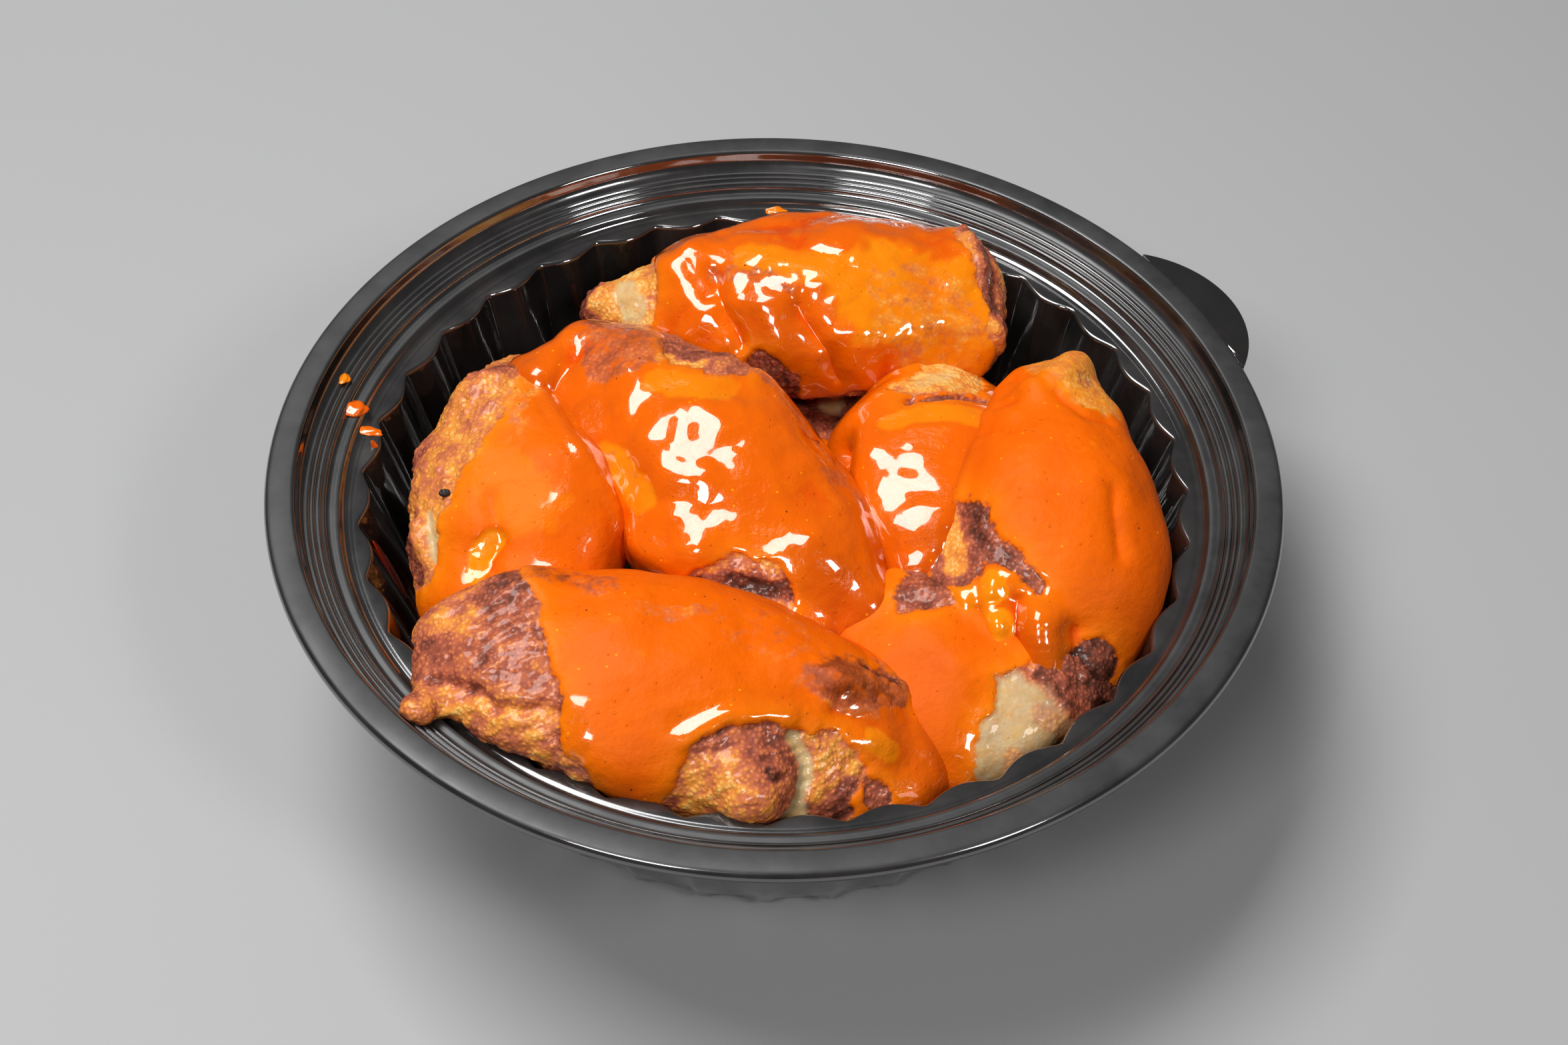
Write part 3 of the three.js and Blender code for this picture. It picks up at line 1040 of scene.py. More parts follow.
@dataclass
class Wing:
    """One sauced wing: the CAD solid refined, sculpted and marked for its material."""

    node: str
    strokes: tuple[Stroke, ...] = ()
    patches: tuple[Patch | Area, ...] = ()
    folds: Folds | None = None
    browned: float = 0.5
    matte: float = 0.0
    lumpy: float = 1.0  # how uneven the sauce lies
    crispy: float = 1.0  # how far the skin's pebbles stand out
    crown: float = -0.15  # how much browner the pebbles' crowns are than the creases; below 0 the creases are darker as painted shade and the crowns lighter as painted light
    fringe: float = 0.4  # how thin the sauce runs out at its edge
    seed: float = 0.0
    voxel: float = 1.05 * MM
    swell: float = 0.75 * MM  # makes up for what smoothing takes off
    sauce_depth: float = 0.8 * MM
    sauce_edge: float = 1.5 * MM
    edge_span: float = 8 * MM  # the sauce attribute runs from 0 to 1 across this
    contact: float = 2.4 * MM  # skin this close to another wing leans on it
    contact_push: float = 1.25 * MM
    muscle_height: float = 0.9 * MM
    crisp_height: float = 0.8 * MM
    film: float = 0.15 * MM  # the sauce is nowhere thinner
    base_rounds: int = 28  # how often the remeshed solid is smoothed
    valley_rounds: int = 50  # how often again, to tell the valleys from the crowns

    def base(self) -> Mesh:
        """The CAD solid as an even, rounded mesh."""
        shape = bmesh.new()
        shape.from_mesh(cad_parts[self.node].data)
        bmesh.ops.remove_doubles(shape, verts=shape.verts, dist=MERGE)
        mesh = bpy.data.meshes.new(self.node + "_body")
        shape.to_mesh(mesh)
        shape.free()
        rough = placed(mesh, self.node + "_body")
        remesh = rough.modifiers.new("even", "REMESH")
        remesh.mode = "VOXEL"
        remesh.voxel_size = self.voxel
        skin = Skin(applied(rough))
        skin.relax(self.base_rounds)
        skin.push(self.swell)
        skin.write()
        fine = placed(skin.mesh, self.node + "_fine")
        divide = fine.modifiers.new("fine", "SUBSURF")
        divide.levels = divide.render_levels = 1
        return applied(fine)

    def locator(self, skin: Skin) -> Callable[[Place], Vector]:
        """Makes the function that finds a place on the wing's face.

        Args:
            skin: The smooth base skin.

        Returns:
            A function from a place on the face to the point of the skin behind it.
        """
        low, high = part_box(self.node)
        tree = surface_tree(skin.mesh, skin.points)
        depth = ((low + high) / 2).dot(LOOK)

        def find(place: Place) -> Vector:
            """The point of the skin behind a place on the face."""
            across = low.x + place[0] * (high.x - low.x)
            rise = low.dot(RISE) + place[1] * (high - low).dot(RISE)
            middle = Vector((across, 0, 0)) + rise * RISE + depth * LOOK
            hit = tree.ray_cast(middle - 0.2 * LOOK, LOOK)[0]
            return hit if hit is not None else tree.find_nearest(middle)[0]

        return find

    def lean(self, points: np.ndarray) -> np.ndarray:
        """How far each point moves out to meet the wings beside it, so that only a crease is left.

        Args:
            points: The skin's points.

        Returns:
            The distances.
        """
        near = np.full(len(points), np.inf)
        for name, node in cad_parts.items():
            if name in (self.node, "bowl"):
                continue
            tree = surface_tree(node.data, [vertex.co for vertex in node.data.vertices])
            reach = [tree.find_nearest(point, 3 * self.contact)[3] for point in points.tolist()]
            near = np.minimum(near, np.array([np.inf if gap is None else gap for gap in reach]))
        return self.contact_push * np.exp(-((near / self.contact) ** 2))

    def marked(
        self, points: np.ndarray, find: Callable[[Place], Vector], mark: Mark, start: float = 0.0
    ) -> np.ndarray:
        """The value of one kind of mark at each point.

        Args:
            points: The skin's points.
            find: Finds a place on the face.
            mark: Which mark.
            start: The value where no patch lies.

        Returns:
            The values.
        """
        values = np.full(len(points), start)
        ragged = ripple(points, 2.2 * MM, self.seed + 31) * 0.25
        ragged += ripple(points, 5 * MM, self.seed + 7) * 0.25
        for patch in self.patches:
            if patch.mark is not mark:
                continue
            if isinstance(patch, Area):
                near = self.beyond(points, patch) / (patch.soft * MM)
                share = 1 - ramp(near + 2 * ragged, -0.5, 0.5)
            else:
                path = [find(place) for place in patch.path]
                near = path_distance(points, path) / (patch.radius * MM)
                share = 1 - ramp(near + ragged, 0.75, 1.2)
            values = values + (patch.value - values) * share
        return values

    def beyond(self, points: np.ndarray, area: Area) -> np.ndarray:
        """How far each point lies outside an area of the face, below 0 inside it.

        Args:
            points: The skin's points.
            area: The area.

        Returns:
            The distances.
        """
        low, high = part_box(self.node)
        start = np.array((low.x, low.dot(RISE)))
        size = np.array((high.x - low.x, (high - low).dot(RISE)))
        places = np.stack((points[:, 0], points @ np.array(RISE)), axis=1)
        return outline_distance(places, start + np.array(area.outline) * size)

    def reach(self, skin: Skin, find: Callable[[Place], Vector]) -> np.ndarray:
        """How far each point lies inside the sauce's edge, below 0 where the skin is bare.

        Args:
            skin: The sculpted skin.
            find: Finds a place on the face.

        Returns:
            The distances.
        """
        points = skin.points
        runs = (skin.normals()[:, 2] + 0.45) * 9 * MM  # thins out where the skin turns under
        runs = runs + ripple(points, 15 * MM, self.seed + 3) * 4 * MM
        for patch in self.patches:
            if patch.mark is not Mark.BARE:
                continue
            if isinstance(patch, Area):
                near = self.beyond(points, patch)
            else:
                path = [find(place) for place in patch.path]
                near = path_distance(points, path) - patch.radius * MM
            runs = np.minimum(runs, near)
        ragged = ripple(points, 6 * MM, self.seed + 11) * 1.2 * MM
        return runs + (ragged + ripple(points, 2 * MM, self.seed + 5) * 0.8 * MM)

    def sculpt(self) -> Mesh:
        """The finished surface: muscle relief, crisp skin, and sauce lying on it."""
        skin = Skin(self.base())
        find = self.locator(skin)
        rest = skin.points.copy()
        lean = self.lean(rest)
        relief = ripple(rest, 11 * MM, self.seed) * self.muscle_height + lean
        for stroke in self.strokes:
            path = [find(place) for place in stroke.path]
            near = path_distance(rest, path) / (stroke.radius * MM)
            relief += stroke.height * MM * np.exp(-(near**2) * 1.4)
        skin.push(relief)

        reach = self.reach(skin, find)
        bare = 1 - ramp(reach, -1 * MM, 0.8 * MM)
        crust = self.marked(rest, find, Mark.BROWN, self.browned)
        pale = self.marked(rest, find, Mark.PALE)
        thin = self.marked(rest, find, Mark.THIN)
        thin = np.maximum(thin, self.fringe * np.exp(-np.maximum(reach, 0) / (2.5 * MM)))
        sheer = self.marked(rest, find, Mark.SHEER)
        sheer = np.maximum(sheer, self.fringe * np.exp(-np.maximum(reach, 0) / (1.2 * MM)))
        crisp = (0.3 + 0.9 * crust) * (1 - 0.8 * pale)
        bumps = pebbles(rest, 3.2 * MM, self.seed) * 0.45
        bumps += pebbles(rest, 1.5 * MM, self.seed + 9) * 0.4
        bumps += ripple(rest, 5 * MM, self.seed + 2, 3) * 0.7
        under = 0.14 + 0.7 * np.maximum(0.5 * thin, sheer)
        shown = np.maximum(bare, under * (1 - bare))
        skin.push((bumps - 0.3) * self.crisp_height * self.crispy * crisp * shown)
        # Pebble crowns and creases differ in browning; with crown below 0 this paints shade in the
        # creases and light on the crowns.
        crust = crust + self.crown * (bumps - 0.45)
        pale = pale * (1 - 0.75 * ramp(bumps, 0.75, 1.15))
        if self.folds:
            along = np.array(self.folds.along) / np.linalg.norm(self.folds.along)
            drawn = rest - 0.72 * (rest @ along)[:, None] * along
            wave = ripple(drawn, self.folds.spacing * MM, self.seed + 8, 2)
            skin.push(wave * self.folds.height * MM * shown)
            # Fold troughs get browner and crests lighter: painted shade and light on the folds.
            crust = crust - 0.14 * wave

        full = np.clip(reach / self.sauce_edge, 0, 1)
        meniscus = np.sqrt(1 - (1 - full) ** 2)
        uneven = ripple(rest, 9 * MM, self.seed + 4) * 0.7
        uneven += ripple(rest, 3.8 * MM, self.seed + 6) * 0.38
        depth = self.sauce_depth * (1 + self.lumpy * uneven) * (1 - 0.6 * thin)
        skin.push(np.maximum(depth, self.film) * meniscus)
        skin.relax(5, full * (1 - 0.7 * np.maximum(thin, sheer)))

        smooth = Skin(skin.mesh)
        smooth.relax(self.valley_rounds)
        valley_shade = np.sum((smooth.points - skin.points) * skin.normals(), axis=1)
        # Down-facing sides get darker, redder sauce: partly thicker sauce, partly painted shade.
        side = 0.5 * ramp(-smooth.normals()[:, 2], -0.7, 0.1)
        side += 0.7 * (lean / self.contact_push) ** 2  # painted shade in the creases where two wings meet, partly pooled sauce
        skin.write()  # last, because the smooth copy's normals() wrote its points to this mesh
        deep_and_shaded = self.marked(rest, find, Mark.DEEP_AND_SHADED)
        # Hollows get darker, redder sauce: partly pooled sauce, partly painted shade.
        pooled = np.maximum(deep_and_shaded, ramp(valley_shade, 0.05 * MM, 0.9 * MM))
        skin.store("valley_shade", np.clip(pooled + side, 0, 1))
        skin.store("sauce", np.clip(0.5 + reach / self.edge_span, 0, 1))
        skin.store("crust", crust)
        skin.store("pale", pale)
        skin.store("sheer", sheer)
        # Crowns get lighter, yellower sauce: partly thinner sauce, partly painted light.
        skin.store("thin", np.clip(thin + 0.3 * ramp(-valley_shade, 0.1 * MM, 0.7 * MM), 0, 1))
        skin.store("matte", self.marked(rest, find, Mark.DULL, self.matte))
        for polygon in skin.mesh.polygons:
            polygon.use_smooth = True
        return skin.mesh

    def build(self, material: Material) -> None:
        """Makes and dresses the wing."""
        piece = placed(self.sculpt(), self.node + "_sauced")
        handed_over(piece, "sauced_wing", material, self.node)


def route(*numbers: float) -> tuple[Place, ...]:
    """Places on a wing's face from pairs of numbers, across and up in hundredths of its box."""
    return tuple((across / 100, up / 100) for across, up in zip(numbers[::2], numbers[1::2]))


def wing_centre() -> Wing:
    """The largest wing, on top in the middle."""
    return Wing(
        node="wing_centre",
        seed=12.3,
        strokes=(
            Stroke(route(12, 76, 18, 86), 6, 2.6),
            Stroke(route(60, 80, 66, 74), 6, 2.2),
            Stroke(route(20, 82, 18, 77, 15, 73), 2, -1.0),
            Stroke(route(26, 74, 30, 62), 3, -0.7),
            Stroke(route(30, 66, 36, 50, 42, 40), 9, -0.8),
            Stroke(route(39, 59, 45, 52, 55, 50), 3.5, 0.9),
            Stroke(route(45, 44, 55, 43), 4, -0.8),
            Stroke(route(82, 34, 94, 27, 96, 20), 5, 1.6),
            Stroke(route(38, 34, 46, 31, 54, 33), 3, 1.2),
            Stroke(route(42, 25, 60, 24, 74, 23), 3, -1.4),
        ),
        patches=(
            Area(
                Mark.BARE,
                route(41, 96, 46, 90, 52, 87, 66, 79, 64, 76, 58, 77, 52, 76, 44, 78, 42, 84),
            ),
            Area(
                Mark.BARE,
                route(
                    40, 26, 48, 25, 54, 28, 59, 30, 64, 32, 70, 31, 73, 29, 77, 25, 78, 20, 73, 14,
                    42, 14, 38, 22,
                ),
            ),
            Patch(Mark.BROWN, route(44, 80, 50, 79), 2.6, 0.12),
            Patch(Mark.BROWN, route(50, 85, 60, 79), 2.6, 0.68),
            Patch(Mark.BROWN, route(56, 29, 63, 30, 70, 30, 73, 28), 2, 0.32),
            Patch(Mark.BROWN, route(44, 25, 60, 26, 76, 24), 1.8, 0.78),
            Patch(Mark.BROWN, route(42, 20, 60, 21, 76, 19), 2, 0.3),
            Patch(Mark.PALE, route(60, 19, 70, 19), 2.4, 0.8),
            Area(Mark.SHEER, route(20, 84, 26, 100, 42, 100, 43, 80, 33, 75, 22, 73), 0.85),
            Patch(Mark.BROWN, route(24, 82, 38, 85), 5, 0.5),
            Patch(Mark.SHEER, route(66, 76, 78, 64, 88, 52), 1.8, 0.8),
            Patch(Mark.SHEER, route(85, 51, 90, 49, 92, 45), 2.6, 0.6),
            Patch(Mark.THIN, route(42, 74, 50, 72, 58, 72), 3.4, 0.5),
            Patch(Mark.THIN, route(29, 55, 35, 51, 39, 45), 3, 0.6),
            Patch(Mark.SHEER, route(29, 55, 36, 52), 2.4, 0.35),
            # Painted shade: darker, redder sauce, partly as if thicker.
            Patch(Mark.DEEP_AND_SHADED, route(80, 30, 92, 20, 88, 10), 5, 0.45),
            Patch(Mark.DEEP_AND_SHADED, route(24, 66, 22, 50), 4, 0.3),
        ),
    )


def wing_front() -> Wing:
    """The long wing across the front, bare at its left end and at its lower right joint."""
    drop = route(86, 45, 89, 41)
    fold = route(7, 59, 16, 56, 19, 52, 24, 52, 30, 52)
    return Wing(
        node="wing_front",
        seed=3.7,
        browned=0.40,
        matte=0.9,
        lumpy=0.45,
        crispy=0.8,
        strokes=(
            Stroke(route(17, 90, 22, 90), 6, 2.0),
            Stroke(route(4, 78, 8, 80), 5, 1.6),
            Stroke(route(53, 45, 61, 51, 71, 52), 2.2, 1.2),
            Stroke(route(60, 38, 67, 37, 66, 30), 5.5, 2.0),
            Stroke(route(72, 46, 74.5, 40, 74.5, 33, 73, 27, 70, 20), 1.6, -1.2),
            Stroke(route(78, 62, 84, 61, 90, 58), 2.8, 1.6),
            Stroke(route(87, 48, 95, 40, 96, 29), 5, 1.2),
            Stroke(drop, 2.4, 0.9),
            Stroke(route(3, 47, 6, 52), 4, 1.6),
            Stroke(route(80, 53, 86, 49), 2.6, -1.2),
            Stroke(fold, 1.6, -1.2),
        ),
        patches=(
            Area(
                Mark.BARE,
                route(
                    -30, 130, 16, 110, 20, 92, 23, 87, 25, 82, 26, 75, 28, 69, 29, 63, 31, 58,
                    31, 51, 31, 42, 33, 38, 36, 33, 40, 25, 36, 12, -30, 0,
                ),
            ),
            Area(
                Mark.BARE,
                route(
                    54, 43, 56, 46, 61, 49, 66, 50, 71, 49, 75, 47, 80, 47, 83, 42, 84, 36, 83, 27,
                    84, 5, 54, 5, 49, 24, 52, 35,
                ),
            ),
            Area(Mark.BARE, route(85, 33, 89, 31, 91, 22, 86, 18)),
            Patch(Mark.BARE, route(86, 62, 89.5, 59), 1.6),
            Area(Mark.BROWN, route(-30, 62, 7, 62, 16, 58, 34, 54, 34, 120, -30, 120), 0.5, 4),
            Patch(Mark.BROWN, route(17, 82, 20, 87, 24, 89), 4.5, 0.64),
            Patch(Mark.BROWN, route(4, 77, 8, 80, 10, 77), 4, 0.34),
            Patch(Mark.BROWN, fold, 1.6, 0.6),
            Patch(Mark.BROWN, route(8, 53, 16, 50, 28, 49), 3, 0.2),
            Patch(Mark.BROWN, route(14, 42, 24, 36, 32, 28), 4, 0.5),
            Area(Mark.BROWN, route(53, 20, 53, 42, 62, 43, 66, 30, 66, 18), 0.22, 3),
            Patch(Mark.BROWN, route(56, 45, 63, 48, 70, 46), 2.8, 0.55),
            Patch(Mark.BROWN, route(66, 42, 71, 37, 71, 29, 67, 22), 2.2, 0.56),
            Patch(Mark.BROWN, route(68, 35), 1.4, 0.85),
            Area(Mark.BROWN, route(75, 46, 80, 47, 84, 40, 84, 20, 76, 20), 0.25, 2),
            Patch(Mark.BROWN, route(79, 24, 83, 30), 2.6, 0.6),
            Patch(Mark.BROWN, route(87, 28, 89, 24), 3, 0.5),
            Patch(Mark.PALE, route(72, 46, 74.5, 40, 74.5, 33, 73, 27), 1.3, 0.9),
            Patch(Mark.PALE, route(73, 24, 69, 17, 64, 13), 2.4, 0.9),
            Patch(Mark.SHEER, route(22, 90, 29, 89, 37, 86), 3.2, 0.6),
            Patch(Mark.BROWN, route(24, 90, 37, 87), 4, 0.68),
            Patch(Mark.SHEER, route(44, 80, 50, 79, 58, 80), 1.8, 0.6),
            Patch(Mark.SHEER, route(62, 76, 74, 70), 6, 0.35),
            Area(
                Mark.SHEER,
                route(72, 65, 80, 68, 88, 65, 93, 57, 90, 52, 84, 51, 79, 54, 74, 58),
                0.95,
                3,
            ),
            Patch(Mark.BROWN, route(80, 63, 90, 58), 5, 0.78),
            # Painted shade: darker, redder sauce on the lower side, partly as if thicker.
            Patch(Mark.DEEP_AND_SHADED, route(50, 45, 44, 32), 6, 0.35),
            Patch(Mark.DEEP_AND_SHADED, route(88, 50, 95, 34), 6, 0.4),
            Patch(Mark.THIN, drop, 2, 0.5),
            Patch(Mark.DULL, route(34, 53, 35, 40), 2.2, 0.1),
            Patch(Mark.DULL, route(52, 50, 60, 54, 72, 55), 3, 0.0),
            Patch(Mark.DULL, route(84, 50, 93, 42, 95, 28), 6, 0.0),
        ),
        folds=Folds((0.9, 0.32, 0.29), 1.6, 0.42),
    )


def wing_right() -> Wing:
    """The plump wing on the right, with a bare strip and a saucy joint at its lower left."""
    knob = route(27, 36, 27, 34)
    knuckle = route(30, 27, 30, 20)
    pool = route(17, 33, 20, 26)
    crest = route(40, 130, 44, 90, 48, 85, 57, 81, 66, 77, 80, 75, 85, 130)
    hook = route(29, 18.5, 34, 15.5, 38, 16.5)
    return Wing(
        node="wing_right",
        seed=21.9,
        browned=0.55,
        matte=1.0,
        lumpy=0.2,
        strokes=(
            Stroke(route(44, 90, 54, 92, 66, 88), 4.5, 3.2),
            Stroke(route(40, 85, 48, 83, 57, 79, 66, 75, 76, 74), 1.6, -0.9),
            Stroke(route(33, 77, 40, 78.5), 1.5, -0.8),
            Stroke(route(26, 70, 32, 71.5, 36, 71), 1.5, -0.8),
            Stroke(route(28, 74, 38, 75), 1.8, 0.6),
            Stroke(route(44, 27, 46, 18, 48, 11), 4.2, 3.0),
            Stroke(route(56, 26, 57, 12), 2.4, -1.6),
            Stroke(route(74, 58, 74, 51, 75, 43), 1.8, -0.9),
            Stroke(knob, 2.4, 1.7),
            Stroke(knuckle, 2.2, 1.9),
            Stroke(pool, 3, 1.4),
            Stroke(route(36, 32, 37, 20), 2.0, -1.6),
            Stroke(route(22, 30, 25, 22), 1.6, -1.2),
            Stroke(route(63, 19), 4, 1.4),
            Stroke(route(42, 30, 50, 28), 3, 1.2),
        ),
        patches=(
            Area(Mark.SHEER, crest),
            Area(Mark.THIN, crest),
            Area(Mark.BROWN, crest, 0.18),
            Patch(Mark.BARE, route(52, 91, 60, 91, 69, 84), 1.8),
            Area(
                Mark.BARE,
                route(
                    20, 56, 23, 54, 25, 51, 29, 47, 32, 44, 37, 42, 42, 39, 47, 36, 44, 33.5,
                    36, 38, 28, 41, 23, 42, 20, 38, 16, 35, 5, 36, 5, 50, 15, 54,
                ),
            ),
            Patch(Mark.BROWN, route(12, 50, 13, 40), 2.6, 0.15),
            Patch(Mark.BROWN, route(20, 54, 22, 45, 34, 41, 45, 35), 2.0, 0.68),
            Patch(Mark.BARE, hook, 1.7),
            Patch(Mark.BROWN, hook, 3, 0.78),
            Patch(Mark.BARE, route(58, 18, 68, 20), 3.6),
            Patch(Mark.BROWN, route(58, 18, 70, 20), 4.4, 0.88),
            Patch(Mark.THIN, knob, 2.4),
            Patch(Mark.THIN, knuckle, 2.4),
            Patch(Mark.THIN, pool, 4, 0.5),
            # Painted shade: darker, redder sauce over the right side, away from the light, partly
            # as if thicker.
            Area(Mark.DEEP_AND_SHADED, route(78, 66, 76, 40, 66, 20, 130, 10, 130, 66), 0.45, 8),
            Area(Mark.DULL, route(10, 40, 30, 44, 52, 34, 56, 10, 10, 0), 0.0, 3),
        ),
    )


def wing_back() -> Wing:
    """The wing along the back, pale at its left end."""
    clear = route(66, 62, 79, 66, 90, 58, 94, 38, 86, 24, 76, 22, 68, 40)
    return Wing(
        node="wing_back",
        seed=8.1,
        browned=0.42,
        lumpy=1.5,
        crispy=1.5,
        strokes=(
            Stroke(route(26, 61, 30, 49), 2.2, -0.8),
            Stroke(route(31, 60, 33, 52, 35, 42, 39, 30), 2.0, -1.5),
            Stroke(route(51, 46, 53, 40, 58, 28, 61, 16), 2.0, -1.7),
            Stroke(route(44, 44, 48, 30), 4.4, 1.2),
            Stroke(route(66, 34, 68, 17), 4.6, 1.6),
            Stroke(route(26, 56, 28, 42), 4, 1),
            Stroke(route(2, 45, 4, 50), 3, 1.4),
            Stroke(route(90, 78, 92, 66), 7, 3.6),
            Stroke(route(95, 38, 93, 28), 6, 2.8),
            Stroke(route(88, 76, 92, 64, 93.5, 50, 95, 38), 1.5, 0.9),
            Stroke(route(92, 76, 95.5, 64, 96.5, 50, 98, 38), 1.5, -1.0),
            Stroke(route(22, 62, 26, 66), 5, 2.2),
        ),
        patches=(
            Area(
                Mark.BARE,
                route(-20, 70, 2, 60, 8, 64, 15, 72, 18, 60, 19, 51, 17, 40, 10, 33, -20, 25),
            ),
            Area(
                Mark.BARE,
                route(85, 120, 88, 80, 90, 74, 93, 65, 94, 54, 96, 37, 97, 20, 130, 20, 130, 120),
            ),
            Area(Mark.BARE, route(40, 22, 43, 27, 48, 22, 52, 16, 51, 4, 36, 4, 38, 17)),
            Area(Mark.BROWN, route(-20, 70, 19, 70, 19, 30, -20, 30), 0.12),
            Patch(Mark.BROWN, route(0, 56, 1, 48, 3, 38, 8, 33), 3.0, 0.6),
            Patch(Mark.PALE, route(11, 52, 13, 44), 3.0, 0.75),
            Patch(Mark.BROWN, route(40, 20, 45, 24, 52, 12), 4, 0.66),
            Patch(Mark.BROWN, route(90, 78, 94, 64, 95, 50, 97, 38), 2.2, 0.58),
            Patch(Mark.BROWN, route(99, 62, 100, 45), 3, 0.2),
            Area(Mark.SHEER, clear, 0.6, 4),
            Area(Mark.BROWN, clear, 0.26, 4),
            Patch(Mark.THIN, route(71, 53, 90, 45), 11, 0.6),
            Patch(Mark.THIN, route(40, 66, 55, 62, 66, 60), 4, 0.5),
            Patch(Mark.SHEER, route(32, 60, 40, 58, 50, 55), 2.2, 0.6),
            # Painted shade: darker, redder sauce, partly as if thicker.
            Patch(Mark.DEEP_AND_SHADED, route(44, 44, 50, 24), 5, 0.35),
        ),
        folds=Folds((0.7, -0.5, -0.3), 2.2, 0.35),
    )


def wing_inner_right() -> Wing:
    """The wing between the middle one and the right one."""
    crease = route(42, 76.5, 59, 77.5, 80, 77)
    return Wing(
        node="wing_inner_right",
        seed=15.5,
        browned=0.25,
        lumpy=0.55,
        strokes=(
            Stroke(route(40, 77, 59, 78, 78, 77), 1.6, -0.9),
            Stroke(route(36, 68, 42, 54), 8, -1.1),
            Stroke(route(5, 62, 10, 45, 28, 22), 5, -5),
        ),
        patches=(
            Area(Mark.BARE, route(34, 80, 45, 78, 60, 79, 80, 79, 82, 88, 70, 90, 54, 87)),
            Area(Mark.BROWN, route(30, 80, 80, 79, 90, 100, 40, 100), 0.05),
            Patch(Mark.PALE, route(50, 82, 62, 84), 2, 0.35),
            Patch(Mark.BARE, crease, 1.1),
            Patch(Mark.BROWN, crease, 1.6, 0.6),
            Patch(Mark.THIN, route(30, 70, 50, 73, 74, 71), 2.4, 0.5),
            # Painted shade: darker, redder sauce over the shaded lower part, partly as if thicker.
            Area(Mark.DEEP_AND_SHADED, route(0, 45, 90, 38, 90, 0, 0, 0), 0.55, 10),
        ),
        folds=Folds((1, 0.1, 0), 1.8, 0.3),
    )


def wing_front_right() -> Wing:
    """The wing at the front right, with bare pale meat."""
    return Wing(
        node="wing_front_right",
        seed=5.9,
        browned=0.36,
        matte=1.0,
        lumpy=0.8,
        crispy=1.3,
        strokes=(
            Stroke(route(42, 71, 50, 59), 6, 1.2),
            Stroke(route(35, 79, 42, 82, 50, 79), 3, 1.2),
            Stroke(route(67, 39, 76, 46), 7, 1.0),
            Stroke(route(60, 46, 57.5, 38, 56, 28), 2, 0.6),
        ),
        patches=(
            Area(Mark.BARE, route(32, 79, 36, 86, 41, 90, 54, 88, 52, 79, 42, 76, 35, 75)),
            Area(
                Mark.BARE,
                route(
                    62, 56, 62, 51, 59, 45, 57, 38, 55, 31, 57, 23, 58, 0, 130, 0, 130, 70, 72, 62,
                ),
            ),
            Area(Mark.BROWN, route(32, 79, 36, 90, 54, 90, 52, 79, 42, 75), 0.58),
            Area(Mark.BROWN, route(70, 55, 75, 62, 130, 70, 130, 34, 88, 34, 82, 44, 77, 51), 0.7),
            Area(
                Mark.PALE,
                route(56, 56, 68, 57, 75, 51, 80, 43, 86, 32, 80, 18, 55, 5, 48, 35),
                0.8,
                3,
            ),
            # Painted shade: darker, redder sauce, partly as if thicker.
            Patch(Mark.DEEP_AND_SHADED, route(40, 62, 50, 40, 52, 20), 6, 0.3),
            Patch(Mark.DULL, route(60, 50, 56, 38, 54, 20), 4, 0.0),
            Patch(Mark.PALE, route(66, 30, 78, 24), 2.2, 0.35),
            Patch(Mark.PALE, route(74, 44, 82, 38), 2.0, 0.4),
        ),
    )


def wing_left() -> Wing:
    """The wing along the left wall, with bare golden skin."""
    crease = route(60, 78, 67, 72, 74, 65, 81, 59, 87, 53, 93, 45)
    runnel = route(46, 42, 41, 38, 39, 33)
    return Wing(
        node="wing_left",
        seed=18.2,
        browned=0.27,
        matte=0.95,
        lumpy=0.6,
        crispy=2.0,
        crown=0.12,
        fringe=0.6,
        strokes=(
            Stroke(route(2, 62), 2.6, 1.6),
            Stroke(route(8, 45, 13, 38), 2.4, 1.4),
            Stroke(route(13, 48, 16, 42, 18, 36), 1.0, -0.6),
            Stroke(route(22, 86, 32, 88), 6, 2.4),
            Stroke(route(42, 52, 49, 42, 46, 34), 2.2, -0.9),
            Stroke(route(80, 60, 88, 42), 8, 3.2),
            Stroke(route(50, 26, 76, 28), 8, 2.6),
            Stroke(crease, 1.4, 1.1),
        ),
        patches=(
            Area(
                Mark.BARE,
                route(
                    -30, 140, 50, 140, 48.5, 84, 47, 80, 44, 76, 41, 70, 36, 65, 28, 58, 24, 51,
                    19, 47, 19, 39, 16, 32, 5, 26, -30, 26,
                ),
            ),
            Area(Mark.SHEER, route(44, 76, 46, 90, 60, 80, 54, 66, 44, 70), 0.8, 3),
            Patch(Mark.BROWN, route(16, 97, 30, 100, 44, 97), 3, 0.5),
            Patch(Mark.BROWN, route(0, 66, 2, 60), 2.6, 0.55),
            Patch(Mark.DULL, route(46, 42, 39, 33), 3, 0.2),
            Patch(Mark.DULL, crease, 3, 0.0),
            Patch(Mark.DULL, route(76, 50, 70, 30, 74, 18), 4, 0.1),
            Patch(Mark.BROWN, route(5, 47, 5, 40, 10, 33), 2.0, 0.66),
            Patch(Mark.PALE, route(14, 48, 16.5, 42, 18, 37), 0.9, 0.8),
            Patch(Mark.THIN, runnel, 2.2, 0.9),
            Patch(Mark.SHEER, runnel, 1.8, 0.35),
            Patch(Mark.THIN, route(40, 60, 60, 50), 6, 0.25),
        ),
    )


